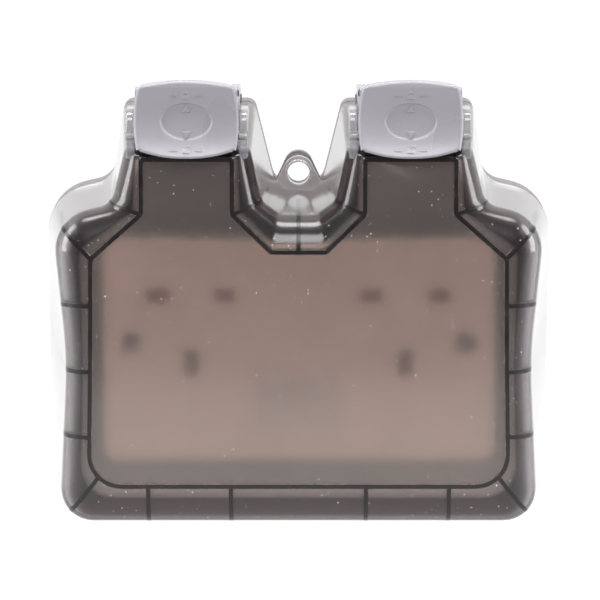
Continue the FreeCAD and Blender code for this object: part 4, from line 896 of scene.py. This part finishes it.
@dataclass
class Lid:
    """The smoked lid: its skin, ribs, latch ears, padlock eye and hinge barrels."""

    paint: Paint
    form: ShellForm = FORM
    side_depths: tuple[float, ...] = (7.0, 11.0, 16.0, 21.0, 26.0, 31.0, 35.0, 39.0, 42.0)
    band_steps: int = 12
    rail_front: float = 6.1
    rib_width: float = 1.3
    rib_height: float = 2.6
    rib_back: float = 18.0
    rib_skin: float = -0.03
    side_ribs: tuple[float, ...] = (28.7, 49.2, 69.9)
    low_ribs: tuple[float, ...] = (21.0, 46.8)
    ear_gap: float = 32.0
    ear_wall: float = 2.7
    ear_top: float = 130.6
    pivot: Point2 = (-49.0, 122.6)
    rib_root: float = 0.4
    panel_lip: float = 0.6
    seal_half: float = 7.95
    seal_depth: float = 6.5
    seal_back: float = 5.0
    seal_below: float = 4.6
    seal_above: float = 8.0
    ear_front: float = 3.6
    ear_low: float = 7.0
    ear_bend: float = 4.0
    ear_back: float = -34.0
    ear_steps: int = 8
    ear_bevel: float = 0.45
    eye_top: float = 110.8
    eye_thick: float = 4.6
    hinge_x: float = 48.0
    barrel_half: float = 7.0

    def build(self) -> list[bpy.types.Object]:
        """Makes every piece of the lid."""
        skin = self.skin()
        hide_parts("lid_shell")
        dressed = {
            skin: Finish.SMOKED, self.ribs(): Finish.RIB, self.ears(): Finish.CLEAR,
            self.eye(): Finish.CLEAR, self.barrels(): Finish.CLEAR,
        }
        for piece, finish in dressed.items():
            self.paint.dress(piece, finish)
            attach(piece, "lid")
        return list(dressed)

    def _outer_rows(self) -> list[list[tuple[float, float, float]]]:
        """The outside, from the rim to the flat panel."""
        form = self.form
        rows = [rows_of(form.side(d, 0.0), d, form.seal_line) for d in (form.gap, form.groove)]
        depths = (form.groove, *self.side_depths)
        rows += [rows_of(form.side(d, 0.0), d) for d in depths]
        for step in range(self.band_steps + 1):
            depth, outline = form.band(math.pi / 2 * step / self.band_steps, 0.0)
            rows.append(rows_of(outline, depth))
        rows.append(rows_of(form.panel.inset(self.panel_lip), form.panel_depth))
        return rows

    def _inner_rows(self) -> list[list[tuple[float, float, float]]]:
        """The inside, from the rim to the back of the flat panel."""
        form, wall = self.form, self.form.wall
        floor = form.seal_line + wall
        rows = [rows_of(form.side(d, wall), d, floor) for d in (form.gap, self.rail_front)]
        rows.append(rows_of(form.side(self.rail_front, wall), self.rail_front))
        rows += [rows_of(form.side(d, wall), d) for d in self.side_depths]
        for step in range(self.band_steps + 1):
            depth, outline = form.band(math.pi / 2 * step / self.band_steps, wall)
            rows.append(rows_of(outline, depth))
        return rows

    def skin(self) -> bpy.types.Object:
        """The hollow shell with its rounded band and the notches for the flex seals."""
        maker = MeshMaker("lid_skin")
        chain = [*reversed(self._inner_rows()), *self._outer_rows()]
        rows = [maker.add(row) for row in chain]
        maker.skin(rows)
        maker.cap(rows[0], reverse=True)
        maker.cap(rows[-1])
        piece = maker.build()
        half, top = self.seal_half, self.form.neck_top
        tools = []
        for sign in (-1, 1):
            x = sign * self.form.neck_x
            high = (top - self.seal_below, top + self.seal_above)
            tools.append(box_tool((x - half, x + half), (-self.seal_depth, self.seal_back), high))
        cut_away(piece, tools)
        soften(piece, 30.0)
        return piece

    def _sections(self, on_side: float, on_band: float) -> list[tuple[float, np.ndarray]]:
        """Outlines along the ribs, from their back end to the panel.

        Args:
            on_side: how far inside the lid's outer face they lie on the side walls.
            on_band: the same on the rounded band.

        Returns:
            Depths with outline points.
        """
        depths = np.linspace(self.rib_back, self.form.edge_depth - self.panel_lip, 6)
        found = [(d, self.form.side(d, on_side).points()) for d in depths]
        for angle in np.linspace(0.0, math.pi / 2, 13):
            depth, outline = self.form.band(angle, on_band)
            found.append((depth, outline.points()))
        return found

    def _rib(self, maker: MeshMaker, pick: Finder) -> None:
        """One radial rib that follows the inside of the lid.

        Args:
            maker: the mesh that takes it.
            pick: finds the rib's point on an outline.
        """
        deep = self.form.wall + self.rib_height
        root = self.form.wall - self.rib_root
        outer = [(d, pick(points)) for d, points in self._sections(root, self.rib_skin)]
        inner = [(d, pick(points)) for d, points in self._sections(deep, deep)]
        way = outer[0][1] - outer[-1][1]
        way = way / np.linalg.norm(way)
        side = np.array([-way[1], way[0]]) * self.rib_width / 2
        rows = []
        for (d_out, p_out), (d_in, p_in) in zip(outer, inner):
            ring = [
                (p_out - side, d_out), (p_out + side, d_out), (p_in + side, d_in), (p_in - side, d_in),
            ]
            rows.append(maker.add([(p[0], -d, p[1]) for p, d in ring]))
        maker.skin(rows)
        maker.cap(rows[0], reverse=True)
        maker.cap(rows[-1])

    @staticmethod
    def _crossing(axis: int, value: float, keep: Callable[[np.ndarray], bool]) -> Finder:
        """A finder of where an outline crosses a line.

        Args:
            axis: 0 for a line of equal x, 1 for a line of equal z.
            value: where the line lies.
            keep: whether a crossing is the one wanted.

        Returns:
            The finder.
        """

        def find(points: np.ndarray) -> np.ndarray:
            """The point of an outline on the line."""
            for here, after in zip(points, np.roll(points, -1, axis=0)):
                low, high = here[axis] - value, after[axis] - value
                if low * high <= 0 and abs(high - low) > NEAR:
                    point = here + (after - here) * (-low / (high - low))
                    if keep(point):
                        return point
            raise ValueError("the outline doesn't cross the rib's line")

        return find

    def ribs(self) -> bpy.types.Object:
        """The radial ribs and the rib round the flat panel."""
        maker = MeshMaker("lid_ribs")
        for sign in (-1, 1):
            for height in self.side_ribs:
                self._rib(maker, self._crossing(1, height, lambda p, s=sign: p[0] * s > 30))
            for across in self.low_ribs:
                self._rib(maker, self._crossing(0, sign * across, lambda p: p[1] < 30))
        self._rib(maker, self._crossing(0, 0.0, lambda p: p[1] > 50))
        last = 2 * len(self.form.rim.corners) - 1
        for index in (0, 2, 3, 6):
            for number in (index, last - index):
                at = self.form.rim.corner_number(number)
                self._rib(maker, lambda points, at=at: points[at])
        half = self.rib_width / 2
        front = self.form.panel_depth - self.rib_skin
        back = self.form.panel_depth - self.form.wall - self.rib_height
        wide, slim = self.form.panel.inset(-half), self.form.panel.inset(half)
        ring = [rows_of(wide, front), rows_of(wide, back), rows_of(slim, back), rows_of(slim, front)]
        rows = [maker.add(row) for row in ring]
        maker.skin([*rows, rows[0]])
        return maker.build()

    def ears(self) -> bpy.types.Object:
        """The four ears that hold the latch pins."""
        maker = MeshMaker("lid_latch_ears")
        front, top = self.pivot[0] - self.ear_front, self.ear_top
        low, bend, back = self.pivot[1] - self.ear_low, self.ear_bend, self.ear_back
        outline = [(front, low), (front, top - bend)]
        for step in range(1, self.ear_steps + 1):
            angle = math.pi / 2 * step / self.ear_steps
            rise = top - bend + bend * math.sin(angle)
            outline.append((front + bend * (1 - math.cos(angle)), rise))
        outline += [(back - 5.0, top), (back - 1.5, top - 1.0), (back, top - 3.5), (back, low)]
        for sign in (-1, 1):
            for inside in (self.ear_gap / 2, -self.ear_gap / 2 - self.ear_wall):
                x = sign * self.form.neck_x + inside
                maker.prism([(x, y, z) for y, z in reversed(outline)], (self.ear_wall, 0.0, 0.0))
        return maker.build(bevel=self.ear_bevel, segments=3)

    def eye(self) -> bpy.types.Object:
        """The rounded padlock tab between the necks, with a raised ring round its hole."""
        gap = self.form.gap
        return PadlockTab("lid_padlock_eye", self.eye_top, -self.eye_thick - gap, -gap, -1).build()

    def barrels(self) -> bpy.types.Object:
        """The two hinge barrels and the webs that tie them to the rim."""
        maker = MeshMaker("lid_hinge_barrels")
        for sign in (-1, 1):
            middle = sign * self.hinge_x
            span = (middle - self.barrel_half, middle + self.barrel_half)
            HingeBarrel(span, -1).add_to(maker)
        return maker.build(bevel=0.25)


@dataclass
class PadlockTab:
    """A rounded triangular tab with a hole and a raised ring on one face."""

    name: str
    top: float
    front: float
    back: float
    ring_side: int
    crown: float = 4.6
    lean: float = math.radians(28.0)
    half: float = 7.6
    floor: float = 100.1
    hole: float = 105.2
    bore_radius: float = 3.6
    ring_radius: float = 4.35
    ring_proud: float = 0.35
    ring_slope: float = 0.97
    steps: int = 72

    def _outline(self) -> list[Point2]:
        """The tab from the front: two feet, leaning sides and a round crown."""
        centre = self.top - self.crown
        turns = np.linspace(self.lean, math.pi / 2, 10)
        right = [(self.crown * math.cos(a), centre + self.crown * math.sin(a)) for a in turns]
        half_line = [(self.half - 1.5, self.floor - 1.9), (self.half, self.floor + 1.6), *right]
        return [*half_line, *[(-x, z) for x, z in reversed(half_line[:-1])]]

    def build(self) -> bpy.types.Object:
        """Makes the tab."""
        outline, hole = self._outline(), self.hole
        angles = [2 * math.pi * i / self.steps for i in range(self.steps)]
        rim = [ray_hit(outline, (0.0, hole), a) for a in angles]
        bore, ring = (
            [(radius * math.cos(a), hole + radius * math.sin(a)) for a in angles]
            for radius in (self.bore_radius, self.ring_radius)
        )
        slope = self.ring_slope
        edge = [(x * slope, (z - hole) * slope + hole) for x, z in ring]
        raised, level = (self.front, self.back) if self.ring_side < 0 else (self.back, self.front)
        proud = raised + self.ring_side * self.ring_proud
        maker = MeshMaker(self.name)
        sections = (
            (bore, level), (rim, level), (rim, raised), (ring, raised), (edge, proud), (bore, proud),
        )
        rows = [maker.add([(x, y, z) for x, z in row]) for row, y in sections]
        maker.skin([*rows, rows[0]])
        return maker.build(bevel=0.3, segments=3)


def ray_hit(outline: Sequence[Point2], start: Point2, angle: float) -> Point2:
    """Where a ray from inside an outline leaves it.

    Args:
        outline: a closed outline seen whole from the start.
        start: the ray's start.
        angle: its direction in radians.

    Returns:
        The point on the outline.
    """
    way = (math.cos(angle), math.sin(angle))
    best = None
    for (ax, az), (bx, bz) in zip(outline, [*outline[1:], outline[0]]):
        ex, ez = bx - ax, bz - az
        cross = way[0] * ez - way[1] * ex
        if abs(cross) < 1e-12:
            continue
        along = ((ax - start[0]) * ez - (az - start[1]) * ex) / cross
        share = ((ax - start[0]) * way[1] - (az - start[1]) * way[0]) / cross
        if along > 0 and -NEAR <= share <= 1 + NEAR and (best is None or along < best):
            best = along
    return start[0] + way[0] * best, start[1] + way[1] * best


@dataclass
class HingeBarrel:
    """A bored barrel with the web that ties it to the rim above; side is -1 for the lid."""

    span: Point2
    side: int
    radius: float = 2.9
    height: float = 3.1
    bore: float = 1.55
    web_top: float = 6.9
    web_gap: float = 0.4
    arc_steps: int = 48
    steps: int = 64

    def _outline(self) -> list[Point2]:
        """The barrel and its web seen from the end."""
        inner_y, outer_y = self.side * self.web_gap, self.side * self.radius
        turns = np.linspace(0, 2 * math.pi, self.arc_steps + 1)[:-1]
        arc = [(self.radius * math.cos(a), self.height + self.radius * math.sin(a)) for a in turns]
        low, high = sorted((inner_y, outer_y))
        below = [(y, z) for y, z in arc if z <= self.height or not low <= y <= high]
        below.sort(key=lambda p: math.atan2(p[1] - self.height, p[0]))
        corners = [(outer_y, self.web_top), (inner_y, self.web_top)]
        return sorted([*below, *corners], key=lambda p: math.atan2(p[1] - self.height, p[0]))

    def add_to(self, maker: MeshMaker) -> None:
        """Adds the barrel to a mesh."""
        outline = self._outline()
        angles = [2 * math.pi * i / self.steps for i in range(self.steps)]
        rim = [ray_hit(outline, (0.0, self.height), a) for a in angles]
        hole = [(self.bore * math.cos(a), self.height + self.bore * math.sin(a)) for a in angles]
        start, end = self.span
        sections = ((hole, start), (rim, start), (rim, end), (hole, end))
        rows = [maker.add([(x, y, z) for y, z in row]) for row, x in sections]
        maker.skin([*rows, rows[0]])


# ------------------------------------------------------------------ the latches


@dataclass
class Latch:
    """One rocking latch: a scooped pad with an oval thumb recess, its body, and its marks."""

    paint: Paint
    side: str
    middle: float
    front: float = 61.0
    inner: float = 57.4
    low: float = 116.5
    high: float = 138.9
    arch: float = 1.7
    half: float = 14.7
    bulge: float = 1.4
    scoop_radius: float = 34.0
    scoop_depth: float = 1.7
    oval: Point2 = (7.8, 5.5)
    oval_height: float = 127.9
    oval_depth: float = 0.55
    rounding: float = 1.1
    width: float = 31.4
    arm_width: float = 3.0
    cheek: float = 1.8
    corner: float = 1.3
    foot_arch: float = 2.4
    foot_curve: float = 2.2
    bowed: Point2 = (-0.78, 0.88)
    flat_share: float = 0.93
    back_share: float = 0.985
    back_step: float = 0.3
    turn_shares: Point2 = (0.15, 0.85)
    first_ring: float = 0.02
    rings: int = 56
    round_rings: int = 6
    oval_rim: float = 1.04
    oval_slope: float = 0.08
    bevel: float = 0.3
    mark_slope: float = 0.72
    mark_root: float = 0.25
    mark_lift: float = 0.02
    triangle_half: float = 1.35
    triangle_proud: float = 0.40
    triangles: tuple[Point2, Point2] = ((133.1, 130.5), (122.2, 124.8))
    padlocks: tuple[Point2, Point2] = ((135.6, 0.0), (119.1, 0.75))
    lock_half: float = 1.3
    lock_span: Point2 = (-0.9, 0.5)
    lock_proud: float = 0.30
    shackle: tuple[Point2, Point2] = ((0.95, 1.15), (0.6, 0.8))
    shackle_proud: float = 0.12
    bar_reach: Point2 = (2.6, 5.2)
    bar_span: Point2 = (-0.25, 0.05)
    bar_proud: float = 0.25
    roof: tuple[Point2, ...] = (
        (-57.9, 135.7), (-57.9, 137.5), (-56.4, 138.3), (-31.0, 134.55), (-32.0, 132.3), (-57.4, 135.3),
    )
    cheek_line: tuple[Point2, ...] = (
        (-57.6, 121.0), (-52.4, 119.8), (-45.8, 119.8), (-40.0, 122.2), (-31.0, 124.5), (-31.0, 134.5),
        (-56.4, 138.2), (-57.6, 137.5),
    )
    arm_line: tuple[Point2, ...] = (
        (-36.0, 123.3), (-8.0, 130.3), (3.85, 130.3), (3.85, 128.25), (6.55, 129.05), (6.55, 132.7),
        (-22.0, 133.3), (-36.0, 135.3),
    )

    def build(self) -> list[bpy.types.Object]:
        """Makes the latch's pieces."""
        pad = self.pad()
        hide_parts(f"latch_{self.side}")
        pieces = [pad, self.body(), self.marks()]
        for piece in pieces:
            self.paint.dress(piece, Finish.LATCH)
            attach(piece, f"latch_{self.side}")
        return pieces

    def surface(self, x: float, z: float) -> float:
        """How far in front of the parting plane the pad's face stands at a point."""
        centre = (self.low + self.high) / 2
        scoop = math.sqrt(max(0.0, self.scoop_radius**2 - (z - centre) ** 2))
        depth = self.front + self.scoop_radius - self.scoop_depth - scoop
        reach = math.hypot(x / self.oval[0], (z - self.oval_height) / self.oval[1])
        soft = min(1.0, max(0.0, (self.oval_rim - reach) / self.oval_slope))
        return min(depth, self.front) - self.oval_depth * soft * soft * (3 - 2 * soft)

    def _outline(self, steps: int) -> list[Point2]:
        """The pad's outline from the front: bowed sides, arched top and bottom, small corners."""
        centre, tall = (self.low + self.high) / 2, (self.high - self.low) / 2
        corner, half = self.corner, self.half
        turns = [math.pi / 2 * share for share in np.linspace(*self.turn_shares, 6)]
        right = []
        for share in np.linspace(0.0, 1.0, steps):
            u = share * (1 - corner / half)
            right.append((u * half, self.low + self.foot_arch * u**self.foot_curve))
        x, z = right[-1]
        right += [(x + corner * math.sin(turn), z + corner * (1 - math.cos(turn))) for turn in turns]
        for v in np.linspace(*self.bowed, 2 * steps):
            right.append((half + self.bulge * (1 - v * v), centre + v * tall))
        x, z = half + 0.2, self.high - 0.1
        right += [(x - corner * (1 - math.cos(turn)), z - corner * (1 - math.sin(turn))) for turn in turns]
        for share in np.linspace(1.0, 0.0, steps):
            u = share * (1 - corner / half)
            right.append((u * half, self.high + self.arch * (1 - u * u) - 0.03))
        left = [(-x, z) for x, z in reversed(right[1:-1])]
        return right + left

    def pad(self) -> bpy.types.Object:
        """The scooped pad."""
        maker = MeshMaker(f"latch_pad_{self.side}")
        outline, middle = self._outline(16), self.oval_height

        def scaled(share: float) -> list[Point2]:
            """The outline drawn in towards the oval's centre."""
            return [(x * share, middle + (z - middle) * share) for x, z in outline]

        rows = []
        for share in np.linspace(self.first_ring, self.flat_share, self.rings):
            rows.append([(self.middle + x, -self.surface(x, z), z) for x, z in scaled(share)])
        for step in range(1, self.round_rings + 1):
            angle = math.pi / 2 * step / self.round_rings
            back = self.rounding * (1 - math.cos(angle))
            ring = scaled(self.flat_share + (1 - self.flat_share) * math.sin(angle))
            rows.append([(self.middle + x, -self.surface(x, z) + back, z) for x, z in ring])
        rows.append([(self.middle + x, -self.inner - self.back_step, z) for x, z in outline])
        rows.append([(self.middle + x, -self.inner, z) for x, z in scaled(self.back_share)])
        numbers = [maker.add(row) for row in rows]
        maker.skin(numbers)
        maker.cap(numbers[0], reverse=True)
        maker.cap(numbers[-1])
        return maker.build(smooth=40.0)

    def body(self) -> bpy.types.Object:
        """The roof, the two cheeks and the two arms with their hooks."""
        maker = MeshMaker(f"latch_body_{self.side}")
        half = self.width / 2
        maker.prism([(self.middle - half, y, z) for y, z in self.roof], (self.width, 0.0, 0.0))
        for sign in (-1, 1):
            for outline, thick in ((self.cheek_line, self.cheek), (self.arm_line, self.arm_width)):
                start = self.middle + (half - thick if sign > 0 else -half)
                maker.prism([(start, y, z) for y, z in outline], (thick, 0.0, 0.0))
        return maker.build(bevel=self.bevel, segments=3)

    def _on_face(self, maker: MeshMaker, outline: Sequence[Point2], proud: float) -> None:
        """A raised mark with sloping sides that follows the pad's face.

        Args:
            maker: the mesh that takes it.
            outline: the mark's outline about the pad's middle.
            proud: how far it stands out of the face.
        """
        mean = np.mean(np.array(outline), axis=0)
        rows = []
        for lift, share in ((-self.mark_root, 1.0), (self.mark_lift, 1.0), (proud, self.mark_slope)):
            ring = mean + (np.array(outline) - mean) * share
            rows.append(maker.add([(self.middle + x, -self.surface(x, z) - lift, z) for x, z in ring]))
        maker.skin(rows)
        maker.cap(rows[0], reverse=True)
        maker.cap(rows[-1])

    def marks(self) -> bpy.types.Object:
        """Two triangles in the oval, and a shut and an open padlock above and below it."""
        maker = MeshMaker(f"latch_marks_{self.side}")
        reach = self.triangle_half
        for tip, foot in self.triangles:
            self._on_face(maker, [(-reach, foot), (0.0, tip), (reach, foot)], self.triangle_proud)
        for height, swing in self.padlocks:
            low, high = (height + edge for edge in self.lock_span)
            half = self.lock_half
            self._on_face(maker, [(-half, low), (half, low), (half, high), (-half, high)], self.lock_proud)
            outer, inner = (
                [(wide * math.cos(a) + swing, high + tall * math.sin(a)) for a in np.linspace(0, math.pi, 13)]
                for wide, tall in self.shackle
            )
            self._on_face(maker, [*outer, *reversed(inner)], self.shackle_proud)
            low, high = (height + edge for edge in self.bar_span)
            for sign in (-1, 1):
                near, far = (sign * reach for reach in self.bar_reach)
                self._on_face(maker, [(near, low), (far, low), (far, high), (near, high)], self.bar_proud)
        return maker.build(smooth=25.0)


# ------------------------------------------------------------------ parts kept from the CAD


@dataclass
class Kept:
    """CAD nodes whose shape is right: each gets its finish and, where it is sharp, soft edges."""

    paint: Paint
    record: dict[str, Any]
    stood_for: tuple[str, ...] = ("lid_shell", "latch_left", "latch_right")
    softened: dict[str, float] = field(
        default_factory=lambda: {"back_box": 0.35, "rocker_left": 0.25, "rocker_right": 0.25}
    )

    def build(self) -> list[bpy.types.Object]:
        """Dresses every node that still shows."""
        pieces = []
        for part in self.record["subparts"]:
            name = part["node"]
            if name in self.stood_for:
                continue
            piece = frame["nodes"][name]
            self.paint.dress(piece, Finish(part["material_slot"]))
            width = self.softened.get(name, 0.0)
            if width:
                self.soft_edges(piece, width)
            pieces.append(piece)
        return pieces

    @staticmethod
    def soft_edges(piece: bpy.types.Object, width: float) -> None:
        """Rounds a node's sharp edges with a modifier, which leaves its mesh as packed.

        Args:
            piece: the CAD node's object.
            width: the rounding in millimetres.
        """
        weld = piece.modifiers.new("weld", "WELD")
        weld.merge_threshold = MELT
        bevel = piece.modifiers.new("soft_edges", "BEVEL")
        bevel.width = width * MM
        bevel.segments = 2
        bevel.limit_method = "ANGLE"
        bevel.angle_limit = SOFTENED_FROM
        bevel.harden_normals = True


# ------------------------------------------------------------------ studio


@dataclass
class Studio:
    """The pale floor, the soft lights and the camera."""

    camera_distance: float = 1.2
    camera_rise: float = 9.0
    lens: float = 231.5
    sensor: float = 36.0
    shift: float = 0.0025
    sight: float = 20.0
    target: tuple[float, float, float] = (0.0, -0.0335, 0.0705)
    floor_half: float = 3.0
    floor_front: float = -0.30
    floor_grey: Rgb = (0.12, 0.12, 0.12)
    floor_glow: float = 0.93
    world_front: Rgb = (0.25, 0.25, 0.26)
    world_full_at: float = 0.75
    light_aim: Rgb = (0.0, 0.0, 0.06)
    soft_boxes: tuple[tuple[str, Rgb, Point2, float], ...] = (
        ("softbox_top", (0.0, -0.16, 0.95), (1.1, 0.26), 10.5),
        ("softbox_front", (0.0, -1.1, 0.75), (0.9, 0.5), 10.0),
        ("softbox_left", (-0.95, -0.16, 0.40), (0.40, 0.9), 9.0),
        ("softbox_right", (0.95, -0.16, 0.40), (0.40, 0.9), 9.0),
    )

    def build(self) -> None:
        """Sets up everything round the object."""
        self.floor()
        self.world()
        self.lights()
        self.camera()
        scene = bpy.context.scene
        scene.view_settings.view_transform = "Standard"

    def floor(self) -> None:
        """A plain pale floor, on the surface that the object stands on."""
        size, front = self.floor_half, self.floor_front
        mesh = bpy.data.meshes.new("studio_floor")
        corners = [(-size, front, 0), (size, front, 0), (size, size, 0), (-size, size, 0)]
        mesh.from_pydata(corners, [], [(0, 1, 2, 3)])
        piece = bpy.data.objects.new("studio_floor", mesh)
        bpy.context.scene.collection.objects.link(piece)
        shading = Shading("studio_white")
        shader = shading.surface(
            Base_Color=self.floor_grey,
            Roughness=MATT,
            Emission_Color=WHITE,
            Emission_Strength=self.floor_glow,
        )
        mesh.materials.append(shading.finish(shader))
        piece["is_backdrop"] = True

    def world(self) -> None:
        """A white room that is brighter above and behind than in front."""
        world = bpy.data.worlds.new("studio_world")
        bpy.context.scene.world = world
        world.use_nodes = True
        nodes, links = world.node_tree.nodes, world.node_tree.links
        nodes.clear()
        way = nodes.new("ShaderNodeTexCoord").outputs["Generated"]
        split = nodes.new("ShaderNodeSeparateXYZ")
        links.new(way, split.inputs[0])
        ramp = nodes.new("ShaderNodeValToRGB")
        stops = ((0.0, self.world_front), (self.world_full_at, WHITE))
        for element, (position, colour) in zip(ramp.color_ramp.elements, stops):
            element.position = position
            element.color = (*colour, 1.0)
        spread = nodes.new("ShaderNodeMapRange")
        spread.inputs["From Min"].default_value = -1.0
        spread.inputs["From Max"].default_value = 1.0
        links.new(split.outputs["Y"], spread.inputs["Value"])
        links.new(spread.outputs[0], ramp.inputs[0])
        glow = nodes.new("ShaderNodeBackground")
        links.new(ramp.outputs[0], glow.inputs["Color"])
        plain = nodes.new("ShaderNodeBackground")
        plain.inputs["Color"].default_value = (*WHITE, 1.0)
        seen = nodes.new("ShaderNodeLightPath").outputs["Is Camera Ray"]
        mix = nodes.new("ShaderNodeMixShader")
        links.new(seen, mix.inputs[0])
        links.new(glow.outputs[0], mix.inputs[1])
        links.new(plain.outputs[0], mix.inputs[2])
        out = nodes.new("ShaderNodeOutputWorld")
        links.new(mix.outputs[0], out.inputs[0])

    def lights(self) -> None:
        """Four soft boxes: above, in front and high up, and to the left and right."""
        for name, spot, spread, watts in self.soft_boxes:
            lamp = bpy.data.lights.new(name, "AREA")
            lamp.shape = "RECTANGLE"
            lamp.size, lamp.size_y = spread
            lamp.energy = watts
            item = bpy.data.objects.new(name, lamp)
            item.location = spot
            aim = Vector(self.light_aim) - Vector(spot)
            item.rotation_euler = aim.to_track_quat("-Z", "Y").to_euler()
            bpy.context.scene.collection.objects.link(item)

    def camera(self) -> None:
        """The camera, a little above and straight in front."""
        rise = math.radians(self.camera_rise)
        back = Vector((0.0, -math.cos(rise), math.sin(rise)))
        data = bpy.data.cameras.new("camera")
        data.lens = self.lens
        data.sensor_width = self.sensor
        data.shift_x = self.shift
        data.clip_end = self.sight
        item = bpy.data.objects.new("camera", data)
        item.location = Vector(self.target) + back * self.camera_distance
        item.rotation_euler = (-back).to_track_quat("-Z", "Y").to_euler()
        bpy.context.scene.collection.objects.link(item)
        bpy.context.scene.camera = item


# ------------------------------------------------------------------ the whole object


def write_sizes() -> None:
    boxes = {"cad": CAD_BOX, "visual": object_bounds()}
    plain = {name: [list(corner) for corner in box] for name, box in boxes.items()}


def main() -> None:
    """Builds the object's parts in order, then the studio."""
    logging.basicConfig(level=logging.INFO, format="%(name)s: %(message)s")
    paint = Paint(FORM.edge_depth * MM - PARTING_Y, FORM.panel_depth * MM - PARTING_Y)
    builders: list[Any] = [Lid(paint)]
    for side in ("left", "right"):
        middle = JOINTS[f"latch_{side}_pivot"]["pos_m"][0] / MM
        builders.append(Latch(paint, side, middle))
    builders.append(Kept(paint, frame["record"]))
    for builder in builders:
        for piece in builder.build():
            LOG.info("%s: %d faces", piece.name, len(piece.data.polygons))
    Studio().build()
    write_sizes()


if __name__ == "__main__":
    main()
